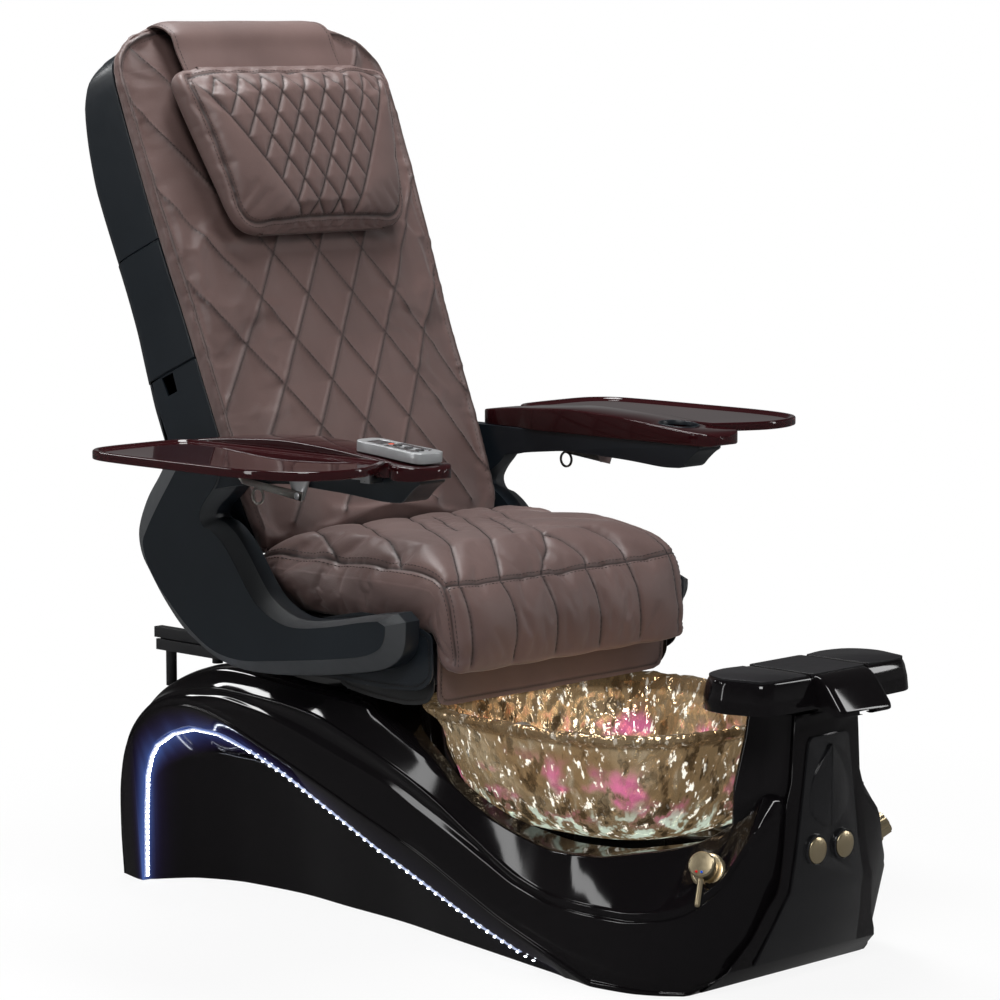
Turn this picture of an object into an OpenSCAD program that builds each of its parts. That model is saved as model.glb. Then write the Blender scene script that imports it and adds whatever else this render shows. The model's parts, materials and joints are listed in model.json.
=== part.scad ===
// Pedicure spa chair: a massage armchair on slide rails above a wave-ribbed shell
// that holds a glass foot bowl, with a footrest tower in front and a folding
// manicure leaf on each arm. Millimetres, +Z up, sitter faces -Y, origin on the
// floor under the middle of the chair.

/* [Shell] */
// Wall of the moulded shell
shell_wall = 8; // [5:1:12]
// How far the rib groove is drawn in
groove_depth = 7; // [3:1:10]
// Width of the flat ledge that carries the light strip
ledge = 14; // [8:1:20]
// Squareness of the tub and bowl outlines
tub_power = 2.6; // [2:0.1:4]
// Half width of the tub at its rim
tub_a = 246; // [230:1:250]
// Half length of the tub at its rim
tub_b = 330; // [300:1:335]
// Middle of the tub, front to back
tub_y = -231; // [-240:1:-220]
// Height of the tub floor
tub_floor = 174; // [172:1:185]

/* [Bowl] */
// Half width of the bowl's rim
bowl_a = 262; // [240:1:262]
// Half length of the bowl's rim
bowl_b = 285; // [270:1:285]
// Top of the bowl's rim
bowl_top = 376; // [370:1:378]
// Glass thickness
bowl_wall = 7; // [5:1:10]
// Radius of the drain hole
drain_r = 24; // [18:1:30]

/* [Tower and footrest] */
// Front face of the tower
tower_front = -648; // [-652:1:-645]
// Thickness of the tower's front cover
cover_t = 4; // [3:1:4]
// Top of the tower
tower_top = 416; // [410:1:416]
// Top of the footrest
foot_top = 479; // [475:1:485]
// Bottom of the footrest
foot_bottom = 428; // [426:1:432]
// Half width of the footrest at its top
foot_half = 182; // [170:1:190]
// Travel of the footrest
foot_travel = 50; // [30:5:50]
// Radius of the round push buttons
button_r = 20; // [15:1:21]
// Distance of each push button from the middle
button_x = 32; // [28:1:34]
// Height of the push buttons
button_z = 209; // [200:1:220]

/* [Taps] */
// Distance of each tap from the middle
tap_x = 188; // [186:1:190]
// Radius of the tap's cover ring
tap_ring_r = 27; // [24:1:28]
// Radius of the tap's ball
tap_ball_r = 16; // [14:0.5:17]
// Running gap round the ball
tap_gap = 0.4; // [0.3:0.1:0.6]

/* [Seat] */
// Half width of the seat cushion
seat_half = 268; // [260:1:270]
// Height of the cushion's side seam
seat_seam = 585; // [580:1:590]
// Depth of the sewn channels
channel = 5; // [2:1:8]
// Inner face of the chair arms
arm_in = 292; // [290:1:296]
// Outer face of the arm's rim
arm_rim = 335; // [330:1:340]
// Outer face of the arm's raised panel
arm_out = 350; // [345:1:352]
// Rake of the backrest at rest
rake = 23; // [20:1:26]
// Height of the backrest hinge
hinge_z = 478; // [470:1:480]
// Front to back place of the backrest hinge
hinge_y = 330; // [325:1:335]
// Radius of the backrest hinge pins
hinge_r = 8; // [6:1:10]

/* [Arm trays] */
// Inner edge of the arm pad
pad_in = 284; // [280:1:286]
// Outer edge of the arm pad
pad_out = 366; // [360:1:367]
// Underside of the arm pad
pad_bottom = 748; // [746:1:750]
// Radius of the cup hole
cup_r = 34; // [30:1:36]
// Distance of the tray hinge from the middle
leaf_axis_x = 373; // [372:0.5:374]
// Height of the tray hinge
leaf_axis_z = 756; // [755:0.5:757]
// Outer edge of the tray leaf
leaf_out = 605; // [580:1:610]
// Underside of the tray leaf
leaf_bottom = 762; // [762:0.5:764]
// Thickness of the tray leaf at its rim
leaf_t = 14; // [12:1:16]
// Radius of the tray hinge pins
leaf_pin_r = 3; // [2.5:0.5:3.5]

/* [Rails] */
// Distance of each rail's middle from the chair's middle
rail_x = 222; // [215:1:226]
// Underside of the rails
rail_z = 393; // [393:1:394]
// Width of a rail
rail_w = 20; // [18:1:22]

/* [Hidden] */
$fn = 48;

eps = 0.01;
tub_rim_z = 420;
deck_top = 392;
slide_z = 411;

// ---- Curves and solids that several pieces share ----

// Smooth open curve through p, k steps to a span.
function curve(p, k = 4) = [for (i = [0:len(p) - 2])
    let (a = p[max(i - 1, 0)], b = p[i], c = p[i + 1], d = p[min(i + 2, len(p) - 1)])
    for (j = [0:k - 1]) let (t = j / k)
        0.5 * (2 * b + (c - a) * t + (2 * a - 5 * b + 4 * c - d) * t * t
               + (3 * b - 3 * c + d - a) * t * t * t), p[len(p) - 1]];

// Outline moved inwards by d; the outline runs anticlockwise.
function inset(p, d) = [for (i = [0:len(p) - 1])
    let (n = len(p), a = p[(i + n - 1) % n], b = p[i], c = p[(i + 1) % n],
         u = (b - a) / norm(b - a), v = (c - b) / norm(c - b), s = (u + v) / norm(u + v),
         w = [-s.y, s.x])
    b + w * d / max(0.5, w * [-u.y, u.x])];

// Ring of a squared oval at height z.
function oval(a, b, z, cy = tub_y, power = 3, n = 48) = [for (i = [0:n - 1])
    let (t = 360 * i / n, c = cos(t), s = sin(t))
    [a * sign(c) * pow(abs(c), 2 / power), cy + b * sign(s) * pow(abs(s), 2 / power), z]];

function mirror_x(p) = [for (i = [len(p) - 1:-1:0]) [-p[i].x, p[i].y]];

// Closed solid through rings of equal point count, in triangles.
module skin(rings) {
    n = len(rings[0]);
    m = len(rings);
    mid = function (r) [for (k = [0:2]) (max([for (q = r) q[k]]) + min([for (q = r) q[k]])) / 2];
    pts = concat([for (r = rings) for (q = r) q], [mid(rings[0]), mid(rings[m - 1])]);
    sides = [for (i = [0:m - 2]) for (j = [0:n - 1])
        let (a = i * n + j, b = i * n + (j + 1) % n) each [[a, b + n, b], [a, a + n, b + n]]];
    ends = [for (j = [0:n - 1]) let (k = (j + 1) % n)
        each [[n * m, j, k], [n * m + 1, n * (m - 1) + k, n * (m - 1) + j]]];
    solid = [for (t = concat(sides, ends))
        if (norm(cross(pts[t[1]] - pts[t[0]], pts[t[2]] - pts[t[0]])) > 0.0001) t];
    polyhedron(pts, solid);
}

// Outline in side view (y, z) given a width in x.
module side_view(x0, x1) translate([x0, 0, 0]) rotate([90, 0, 90])
    linear_extrude(x1 - x0) children();

// Outline in front view (x, z) given a depth in y.
module front_view(y0, y1) translate([0, y1, 0]) rotate([90, 0, 0])
    linear_extrude(y1 - y0) children();

// The same piece on the sitter's left (+X) or right (-X).
module side(s) {
    if (s > 0) children();
    else mirror([1, 0, 0]) children();
}

module rod_x(x0, x1, r) translate([x0, 0, 0]) rotate([0, 90, 0]) cylinder(h = x1 - x0, r = r);
module rod_y(y0, y1, r) translate([0, y1, 0]) rotate([90, 0, 0]) cylinder(h = y1 - y0, r = r);

// ---- Shell: five lines run its length and close up round the rear arch ----

deck_line = [[-640, 297], [-620, 301], [-577, 256], [-518, 216], [-450, 202], [-395, 194],
    [-327, 194], [-258, 206], [-187, 228], [-116, 263], [-64, 300], [0, 328], [57, 355],
    [90, 374], [150, 379], [240, 384], [330, 390], [380, 392], [430, 388], [484, 374],
    [540, 350], [590, 315], [630, 268], [655, 215], [668, 150], [676, 80], [684, 2]];
rim_line = [[-640, 290], [-620, 296], [-577, 253], [-518, 214], [-450, 200], [-395, 192],
    [-327, 192], [-258, 204], [-187, 226], [-116, 261], [-44, 295], [-6, 309], [90, 341],
    [136, 355], [200, 363], [280, 368], [400, 366], [480, 352.6]];
groove_top = [[-642, 280], [-627, 232], [-603, 170], [-574, 137], [-540, 124], [-474, 115],
    [-407, 115], [-340, 119], [-271, 136], [-165, 189], [-88, 231], [-13, 264], [90, 302],
    [201, 335], [300, 346], [400, 352], [480, 341.5]];
groove_low = [[-642, 272], [-627, 224], [-603, 162], [-574, 129], [-540, 117], [-474, 108],
    [-407, 108], [-340, 112], [-271, 128], [-200, 158], [-165, 173], [-57, 216], [-13, 235],
    [25, 250], [150, 285], [280, 321], [330, 330], [400, 338], [480, 332.5]];
rib_line = [[-640, 165], [-624, 112], [-602, 52], [-580, 24], [-557, 16], [-517, 23],
    [-403, 42], [-313, 65], [-212, 95], [-165, 115], [-51, 164], [80, 210], [212, 257],
    [300, 286], [406, 319], [445, 326], [480, 328]];
arch_line = [[-410, 0], [-370, 15], [-300, 42], [-224, 71], [-150, 104], [-51, 148],
    [80, 194], [212, 241], [300, 270], [406, 303], [445, 311], [480, 314], [515, 311],
    [557, 299], [595, 275], [625, 245], [650, 203], [666, 150], [676, 90], [684, 0]];
light_line = [[-350, 0], [-328, 9], [-252, 26], [-169, 52], [-91, 82], [-12, 113],
    [55, 138], [123, 167], [192, 196], [276, 231], [355, 257], [435, 275], [494, 276],
    [546, 262], [589, 236], [604, 214], [615, 180], [619, 110], [621, 0]];
toe_line = [[-640, 148], [-636, 133], [-624, 95], [-602, 38], [-557, 0]];
rim_half = [[-640, 100], [-620, 105], [-580, 125], [-540, 150], [-500, 185], [-450, 222],
    [-395, 243], [-350, 250], [-200, 252], [200, 254], [400, 257], [560, 258], [620, 254],
    [655, 244], [676, 232], [684, 226]];
groove_half = [[-642, 90], [-627, 152], [-603, 194], [-574, 233], [-540, 250], [-474, 264],
    [-400, 268], [480, 270], [560, 272], [620, 270], [655, 262], [676, 250], [684, 238]];
arch_half = [[-640, 88], [-624, 120], [-602, 152], [-580, 188], [-550, 212], [-520, 236],
    [-480, 254], [-420, 262], [-300, 268], [0, 270], [560, 272], [630, 270], [660, 262],
    [676, 250], [684, 236]];
light_half = [[-410, 262], [-350, 250], [621, 250], [684, 236]];
wall_half = [[-350, 250], [-328, 243], [-252, 228], [-176, 213], [-42, 187], [98, 160],
    [227, 147], [361, 133], [476, 140], [565, 173], [600, 212], [612, 230], [619, 238], [621, 250]];

stations = [684, 680, 676, 671, 666, 655, 640, 630, 621, 619, 615, 604, 589, 570, 546, 520,
    494, 480, 460, 435, 400, 355, 315, 276, 235, 192, 150, 123, 90, 57, 25, -12, -44, -64,
    -91, -130, -169, -210, -252, -290, -328, -350, -380, -410, -450, -480, -518, -540,
    -557, -574, -588, -602, -613, -624, -632, -640];

// Places of the rail posts, and the height of the boss under each.
rail_posts = [140, 330, 460, 575];
post_z = [for (y = rail_posts) max(lookup(y - 10, deck_line), lookup(y + 10, deck_line)) + 2];

// Half section of the shell at y: recess wall, ledge, lip, rib, groove, rim, deck.
function shell_half(y) = let (
    zf = lookup(y, toe_line), ze = y < -410 ? zf : lookup(y, arch_line),
    zt = lookup(y, deck_line), far = y > 480,
    zb = far ? ze + 0.23 * (zt - ze) : lookup(y, rib_line),
    zl = far ? ze + 0.30 * (zt - ze) : lookup(y, groove_low),
    zu = far ? ze + 0.45 * (zt - ze) : lookup(y, groove_top),
    zr = far ? ze + 0.63 * (zt - ze) : lookup(y, rim_line),
    xe = lookup(y, arch_half), xc = lookup(y, groove_half), xr = lookup(y, rim_half),
    open = y > -350 && y < 621,
    xl = y < -410 ? xe : lookup(y, light_half), zi = open ? lookup(y, light_line) : zf,
    xw = open ? lookup(y, wall_half) : xl,
    xm = xl - min(ledge, 0.85 * (xl - xw)))
    [[xw, zf], [xw + 0.3 * (xm - xw), zf + 0.8 * (zi - zf)], [xm, zi], [xl, zi], [xe, ze],
     [xe + (far ? 0 : 1), zb], [xc, zl],
     [xc - min(groove_depth, 0.4 * (zu - zl) + 1), (zl + zu) / 2], [xc - 1, zu], [xr, zr],
     [xr - 6, zr + 0.7 * (zt - zr)], [xr - 20, zt]];

// Inner space: a spine between the two recess walls that drops under the tub
// floor, and a wider loft above the arches.
spine_plan = [for (q = [[604, 14], [565, 10], [476, 9], [361, 8], [227, 9], [98, 9], [-42, 9],
    [-176, 9], [-252, 9], [-328, 9], [-420, 24], [-500, 40], [-545, 60]])
    [(q.x > -350 ? lookup(q.x, wall_half) : lookup(q.x, arch_half)) - q.y, q.x]];
spine_top = concat([for (y = [604, 565, 520, 480, 430, 330, 240, 150, 112])
    [y, lookup(y, deck_line) - shell_wall - 2]],
    [[110, tub_floor - shell_wall], [-380, tub_floor - shell_wall], [-430, 96], [-545, 96]]);
loft_y = [125, 212, 300, 406, 480, 520, 545];
loft_side = concat([for (y = loft_y) [y, lookup(y, arch_line) + shell_wall + 8]],
    [for (i = [len(loft_y) - 1:-1:0]) [loft_y[i], lookup(loft_y[i], deck_line) - shell_wall - 3]]);

module inner_space() {
    intersection() {
        translate([0, 0, -1]) linear_extrude(500) polygon(concat(spine_plan,
            mirror_x(spine_plan)));
        side_view(-300, 300) polygon(concat([[604, -1]], spine_top, [[-545, -1]]));
    }
    side_view(-236, 236) polygon(loft_side);
}

function ring_at(y, half) = [for (p = concat(half, mirror_x(half))) [p.x, y, p.y]];

module tub_space() skin([
    oval(158, 238, tub_floor, power = tub_power), oval(186, 268, 190, power = tub_power),
    oval(214, 298, 222, power = tub_power), oval(236, 320, 270, power = tub_power),
    oval(tub_a, tub_b, 330, power = tub_power),
    oval(tub_a, tub_b, tub_rim_z, power = tub_power)]);

module tower_neck() {
    plan = function (f, m, r, z) let (h = [[f, -641], [f + 6, -636], [m, -608], [r, -578],
        [r - 4, -570], [r - 16, -566]]) [for (p = concat(h, mirror_x(h))) [p.x, p.y, z]];
    skin([plan(88, 112, 130, 236), plan(84, 106, 128, 306), plan(76, 88, 104, 378),
          plan(72, 82, 96, tower_top)]);
}

// Frame of a tap: +Z leaves the shell, +X points down the slope.
module at_tap(s) side(s) translate([tap_x, -579, 190.5]) rotate([0, 62, -20.6]) children();

module hull() color([0.07, 0.065, 0.07]) difference() {
    union() {
        skin([for (y = stations) ring_at(y, shell_half(y))]);
        tower_neck();
        translate([-200, 150, deck_top - 18]) cube([400, 350, 18]);
        for (s = [-1, 1]) {
            at_tap(s) translate([0, 0, -34]) cylinder(h = 34, r = tap_ring_r + 3);
            for (i = [0:3]) if (post_z[i] < rail_z - 3) translate([s * rail_x, rail_posts[i],
                post_z[i] - 16]) cylinder(h = 16, r = 12);
        }
    }
    inner_space();
    tub_space();
    translate([-58, -660, 152]) cube([116, 74, tower_top - 8 - 152]);
    for (s = [-1, 1]) at_tap(s) {
        translate([0, 0, -60]) cylinder(h = 70, r = 12.5);
        cylinder(h = 40, r = tap_ring_r + 3);
    }
    translate([0, tub_y, 150]) cylinder(h = 60, r = 40);
    translate([-40, 620, -5]) cube([80, 100, 45]);
}

// Light strip that follows the ledge inside the arch.
module led_strip(s) color([0.75, 0.8, 1]) side(s) {
    path = concat([[619.6, 6]], [for (p = [for (i = [len(light_line) - 2:-1:2]) light_line[i]]) p]);
    n = len(path);
    out = [for (i = [0:n - 1]) let (a = path[max(i - 1, 0)], b = path[min(i + 1, n - 1)],
        d = (b - a) / norm(b - a)) [-d.y, d.x]];
    rings = [for (i = [0:n - 1]) let (p = path[i] + out[i] * 0.8, q = path[i] + out[i] * 4)
        [[248, p.x, p.y], [240, p.x, p.y], [240, q.x, q.y], [248, q.x, q.y]]];
    skin(rings);
}

// ---- Tower front ----

tower_half = [[188, 4], [165, 50], [140, 85], [120, 135], [104, 170], [96, 212], [90, 285],
    [79, 316], [75, 378], [72, tower_top]];
tower_side = [[-566.5, 4], [-606, 38], [-628, 95], [-640, 133], [tower_front, 152],
    [tower_front, tower_top]];

function thicken(line, t) = concat(line, [for (i = [len(line) - 1:-1:0])
    [line[i].x + t, line[i].y]]);

module front_cover() color([0.06, 0.055, 0.06]) difference() {
    intersection() {
        front_view(-700, -500) polygon(concat(tower_half, mirror_x(tower_half)));
        side_view(-200, 200) polygon(thicken(tower_side, cover_t));
    }
    for (s = [-1, 1]) translate([s * button_x, 0, button_z]) rod_y(-700, -600, 8);
}

panel_half = [[119, 40], [89, 133], [70, 215], [56, 304], [46, 372], [38, 380]];
panel_side = [[-606 - 5, 36], [-628 - 5, 95], [-640 - 5, 133], [tower_front - 5, 152],
    [tower_front - 5, tower_top]];

// Inset panel with a raised collar round each button and two lens facets above.
module front_panel() color([0.05, 0.05, 0.055]) difference() {
    union() {
        intersection() {
            front_view(-700, -500) polygon(concat(panel_half, mirror_x(panel_half)));
            side_view(-200, 200) polygon(thicken(panel_side, 5));
        }
        for (s = [-1, 1]) translate([s * button_x, 0, button_z])
            rod_y(tower_front - 11, tower_front - 5 + eps, button_r + 4.5);
        translate([0, tower_front - 5, 300]) intersection() {
            front_view(-6, eps) polygon(curve([[0, 66], [36, 20], [44, -30], [0, -58],
                [-44, -30], [-36, 20], [0, 66]], 5));
            union() for (s = [-1, 1]) rotate([0, 0, s * 6]) translate([s * 30, -3, 0])
                cube([60, 6, 160], center = true);
        }
    }
    for (s = [-1, 1]) translate([s * button_x, 0, button_z]) {
        rod_y(-700, tower_front - 5, button_r + 0.8);
        rod_y(-700, -600, 6.6);
    }
}

// Domed push button on a stem; it rests 4 mm clear of the panel.
module push_button(s) color([0.83, 0.68, 0.42]) translate([s * button_x, tower_front - 5, button_z])
    rotate([90, 0, 0]) {
        rotate_extrude() polygon(concat([[0, 4], [button_r, 4], [button_r, 7]],
            [for (a = [20:10:90]) [button_r * cos(a * 0.98), 5.6 + 5 * sin(a)]], [[0, 10.6]]));
        translate([0, 0, -16]) cylinder(h = 20 + eps, r = 6);
        translate([0, 0, -16]) cylinder(h = 5.5, r = 9);
    }

// ---- Foot bowl and its fittings ----

bowl_out = [[116, 136, 190], [140, 160, 192], [160, 184, 200], [178, 203, 214],
    [196, 218, 234], [212, 232, 262], [226, 245, 298], [238, 255, 336], [246, 264, 357],
    [bowl_a - 1, bowl_b - 2, 360], [bowl_a, bowl_b, 373], [bowl_a - 3, bowl_b - 3, bowl_top]];
function bowl_in(i) = let (b = bowl_out[i]) [b.x - bowl_wall, b.y - bowl_wall,
    b.z + (i < 2 ? bowl_wall : (i < 4 ? 5 : 3))];

module foot_bowl() color([0.62, 0.42, 0.3, 0.6]) difference() {
    skin([for (b = bowl_out) oval(b.x, b.y, b.z, power = 3, n = 40)]);
    skin(concat([for (i = [0:8]) let (b = bowl_in(i)) oval(b.x, b.y, b.z, power = 3, n = 40)],
        [oval(bowl_a - 18, bowl_b - 24, bowl_top + 2, power = 3, n = 40)]));
    translate([0, tub_y, 180]) cylinder(h = 30, r = drain_r);
    at_jet() translate([0, 0, -30]) cylinder(h = 60, r = 22);
}

module bowl_gasket() color([0.1, 0.1, 0.1]) translate([0, tub_y, tub_floor]) difference() {
    cylinder(h = 16, r = 70);
    translate([0, 0, -1]) cylinder(h = 18, r = 44);
}

// Drain ring clamps the bowl floor between a flange and a threaded tail.
module drain_ring() color([0.8, 0.68, 0.45]) translate([0, tub_y, 0]) difference() {
    union() {
        translate([0, 0, 197]) cylinder(h = 4, r = drain_r + 8);
        translate([0, 0, 150]) cylinder(h = 48, r = drain_r - 0.2);
        translate([0, 0, 183]) cylinder(h = 7, r = drain_r + 10);
    }
    translate([0, 0, 140]) cylinder(h = 100, r = drain_r - 5);
    translate([0, 0, 198]) cylinder(h = 10, r1 = drain_r - 4, r2 = drain_r - 1);
}

module drain_stopper() color([0.85, 0.72, 0.48]) translate([0, tub_y, 0]) {
    translate([0, 0, 201.4]) rotate_extrude() polygon(concat([[0, 0], [drain_r + 2, 0]],
        [for (a = [0:15:90]) [(drain_r + 2) * cos(a), 1 + 5 * sin(a)]]));
    translate([0, 0, 160]) cylinder(h = 42, r = 4);
}

module bowl_light() color([1, 0.7, 0.85]) translate([95, tub_y, 197.4]) {
    cylinder(h = 3, r = 17);
    cylinder(h = 6, r = 13);
}

// Frame of the whirlpool jet on the bowl's rear wall: +Z points into the bowl.
module at_jet() translate([0, 8, 266]) rotate([66, 0, 0]) children();

// Jet housing: drum with a drilled front, on a stem through the glass.
module jet_housing() color([0.85, 0.85, 0.87]) at_jet() difference() {
    union() {
        translate([0, 0, 16.5]) cylinder(h = 24, r = 38);
        translate([0, 0, -32]) cylinder(h = 50, r = 21.8);
    }
    translate([0, 0, 19]) cylinder(h = 18, r = 35);
    for (a = [0:45:315]) rotate([0, 0, a]) translate([22, 0, 35]) cylinder(h = 8, r = 5);
    for (a = [0:90:270]) rotate([0, 0, a]) translate([9, 0, 35]) cylinder(h = 8, r = 4);
    translate([0, 0, -40]) cylinder(h = 60, r = 5.05);
}

module jet_impeller() color([0.75, 0.75, 0.78]) at_jet() {
    translate([0, 0, -30]) cylinder(h = 52, r = 5);
    translate([0, 0, 21]) cylinder(h = 10, r = 10);
    for (a = [0:60:300]) rotate([0, 0, a]) translate([8, -1.5, 22]) rotate([20, 0, 0])
        cube([23, 3, 8]);
}

// ---- Taps ----

module tap_cover() difference() {
    union() {
        rotate_extrude() polygon([[0, 0], [tap_ring_r, 0], [tap_ring_r, 2], [tap_ring_r - 4, 5],
            [0, 5]]);
        translate([0, 0, -34]) cylinder(h = 35, r = 12.2);
    }
    translate([0, 0, -40]) cylinder(h = 60, r = 7.05);
}

module mixer_ring() color([0.85, 0.72, 0.5]) at_tap(-1) tap_cover();

module mixer_ball() color([0.8, 0.67, 0.45]) at_tap(-1) {
    translate([0, 0, -30]) cylinder(h = 40, r = 7);
    translate([0, 0, 5.4]) cylinder(h = 3, r = 13);
    intersection() {
        translate([0, 0, 18]) sphere(r = tap_ball_r);
        translate([0, 0, 8]) cylinder(h = 40, r = 30);
    }
}

// Lever cap: a drum with a round socket over the ball and a pin lever.
module mixer_cap() color([0.87, 0.74, 0.52]) at_tap(-1) difference() {
    union() {
        translate([0, 0, 17]) rotate_extrude() polygon([[0, 0], [20, 0], [20, 17], [18, 20],
            [0, 21]]);
        translate([0, 0, 27]) rotate([0, 96, 0]) cylinder(h = 58, r = 4.2);
        translate([0, 0, 27]) rotate([0, 96, 0]) translate([0, 0, 58]) sphere(r = 4.2);
    }
    translate([0, 0, 18]) sphere(r = tap_ball_r + tap_gap);
}

module knob_ring() color([0.85, 0.72, 0.5]) at_tap(1) tap_cover();

module diverter_knob() color([0.87, 0.74, 0.52]) at_tap(1) difference() {
    union() {
        translate([0, 0, -30]) cylinder(h = 40, r = 7);
        translate([0, 0, 5.6]) cylinder(h = 26, r = 19);
        translate([0, 0, 5.6]) cylinder(h = 6, r = 22);
    }
    for (a = [0:45:315]) rotate([0, 0, a]) translate([22, 0, 13]) cylinder(h = 30, r = 4.5);
}

// ---- Footrest: a wide saddle that slides forwards on a T rail ----

foot_plan_half = curve([[0, -541], [66, -538], [113, -531], [158, -541], [182, -566],
    [190, -600], [182, -636], [174, -662], [160, -673], [140, -676], [70, -678], [0, -678]], 3);
foot_plan = concat(foot_plan_half, [for (i = [len(foot_plan_half) - 2:-1:1])
    [-foot_plan_half[i].x, foot_plan_half[i].y]]);
saddle_side = [[-700, 430], [-722, 416], [-728, 419], [-727, 425], [-690, 474], [-679, 480],
    [-545, 480], [-545, 430]];

module t_rail(gap) {
    translate([-12 - gap, -760, 0]) cube([24 + 2 * gap, 240, 5]);
    translate([-20 - gap, -760, 5 - gap]) cube([40 + 2 * gap, 240, 4 + 2 * gap]);
}

module footrest_rail() color([0.55, 0.56, 0.58]) translate([0, 0, tower_top]) intersection() {
    t_rail(0);
    translate([-60, -640, -1]) cube([120, 68, 40]);
}

module wing_recess(s, lip) side(s) intersection() {
    translate([0, 0, foot_top - 4]) linear_extrude(20)
        polygon([for (p = inset([for (i = [len(foot_plan) - 1:-1:0]) foot_plan[i]], 9 + lip))
            [p.x, p.y]]);
    translate([74 + lip, -700, 400]) cube([200, 300, 200]);
}

module footrest_base() color([0.07, 0.065, 0.07]) difference() {
    union() {
        intersection() {
            translate([0, 0, foot_bottom]) linear_extrude(foot_top - foot_bottom)
                polygon(foot_plan);
            front_view(-760, -500) polygon([[-190, foot_bottom], [190, foot_bottom],
                [foot_half, foot_top], [-foot_half, foot_top]]);
        }
        side_view(-60, 60) polygon(saddle_side);
        translate([-30, -655, tower_top + 1]) cube([60, 100, foot_bottom - tower_top]);
    }
    for (s = [-1, 1]) translate([s * 65 - 3, -760, foot_top - 9]) cube([6, 300, 20]);
    for (s = [-1, 1]) wing_recess(s, 0);
    translate([0, 0, tower_top + eps]) t_rail(0.5);
    translate([0, -716, 452]) rotate([0, 90, 0]) rotate_extrude()
        polygon(concat([[0, -20]], [for (a = [-80:20:80]) [13 * cos(a), 20 * sin(a)]], [[0, 20]]));
}

module footrest_pad(s) color([0.03, 0.03, 0.03]) intersection() {
    wing_recess(s, 0.4);
    translate([-300, -800, foot_top - 4]) cube([600, 400, 4.5]);
}

// ---- Fixed running gear under the seat ----

// Fixed C channel on posts; its slot faces up.
module lower_rail(s) color([0.12, 0.12, 0.13]) side(s) difference() {
    union() {
        translate([rail_x - rail_w / 2, 112, rail_z]) cube([rail_w, 490, 18]);
        for (i = [0:3]) translate([rail_x, rail_posts[i], post_z[i]])
            cylinder(h = rail_z - post_z[i] + 1, r = 9);
    }
    translate([rail_x - 6, 100, rail_z + 4]) cube([12, 520, 11]);
    translate([rail_x - 3.5, 100, rail_z + 8]) cube([7, 520, 20]);
    for (y = rail_posts) translate([rail_x, y, rail_z - 1]) cylinder(h = 8, r = 3);
}

// Fixed tube of the slide actuator with its motor and its two saddles.
module slide_tube() color([0.2, 0.2, 0.22]) difference() {
    union() {
        translate([0, 0, slide_z]) rod_y(200, 520, 15);
        for (y = [215, 470]) translate([-20, y, deck_top]) cube([40, 24, slide_z - deck_top]);
        translate([42, 0, slide_z]) rod_y(190, 300, 17);
        translate([0, 190, slide_z - 14]) cube([42, 30, 28]);
    }
    translate([0, 0, slide_z]) rod_y(180, 540, 8.05);
}

// Floor frame inside the shell: two long bars, three cross bars, posts to the deck.
module base_frame() color([0.2, 0.2, 0.22]) {
    for (x = [-100, 100]) {
        translate([x - 12, 130, 8]) cube([24, 430, 25]);
        for (y = [200, 430]) translate([x - 12, y - 12, 33])
            cube([24, 24, min(lookup(y - 12, deck_line), lookup(y + 12, deck_line))
                  - shell_wall - 35.3]);
    }
    for (y = [150, 330, 520]) translate([-88, y - 12, 8]) cube([176, 24, 25]);
    for (x = [-100, 100], y = [200, 480]) translate([x, y, 0]) cylinder(h = 8, r = 22);
}

module pump() color([0.25, 0.26, 0.3]) {
    translate([0, 0, 85]) rod_y(300, 430, 45);
    translate([0, 0, 85]) rod_y(260, 300, 58);
    translate([-50, 318, 33]) cube([100, 24, 20]);
    translate([0, 0, 85]) rod_y(225, 260, 18);
}

// Waste pipe: a collar round the drain tail, an elbow and a run to the rear.
module waste_pipe() color([0.8, 0.8, 0.78]) difference() {
    union() {
        translate([0, tub_y, 66]) cylinder(h = 98, r = 29);
        translate([0, 0, 66]) rod_y(tub_y, 100, 20);
        translate([0, tub_y, 66]) sphere(r = 29);
    }
    translate([0, tub_y, 66]) cylinder(h = 120, r = 24);
    translate([0, 0, 66]) rod_y(tub_y, 120, 16);
}

// ---- Seat carriage ----

module upper_rail(s) color([0.1, 0.1, 0.11]) side(s) {
    translate([rail_x - 9, -60, 413]) cube([18, 668, 18]);
    translate([rail_x - 2.5, 120, 402]) cube([5, 480, 11 + eps]);
    translate([rail_x - 5, 120, 398]) cube([10, 480, 5]);
}

module seat_frame() color([0.09, 0.09, 0.1]) difference() {
    union() {
        for (y = [-50, 60, 180, 290]) translate([-rail_x - 9, y, 431]) cube([2 * rail_x + 18, 28, 30]);
        translate([-rail_x - 9, -89, 452]) cube([2 * rail_x + 18, 30, 24]);
        for (s = [-1, 1]) side(s) {
            translate([rail_x - 9, -60, 431]) cube([18, 400, 47]);
            translate([rail_x + 8, 285, 431]) cube([243 - rail_x - 8, 65, 24]);
            translate([rail_x + 9, 160, 436]) cube([arm_in - rail_x - 9, 120, 26]);
            side_view(236, 243) polygon([[285, 431], [352, 431], [350, 482], [340, 494],
                [322, 496], [308, 486]]);
            translate([0, hinge_y, hinge_z]) rod_x(224, 246, hinge_r);
        }
    }
    for (s = [-1, 1]) side(s) translate([rail_x - 12, 285, 455]) cube([26.5, 80, 43]);
}

module slide_rod() color([0.7, 0.7, 0.72]) {
    translate([0, 0, slide_z]) rod_y(70, 400, 8);
    translate([-14, 62, slide_z - 12]) cube([28, 22, 431 - slide_z + 12]);
}

module seat_pan() color([0.1, 0.1, 0.1]) difference() {
    translate([-252, -66, 478]) cube([504, 360, 20]);
    translate([-238, -52, 470]) cube([476, 332, 22]);
}

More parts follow.
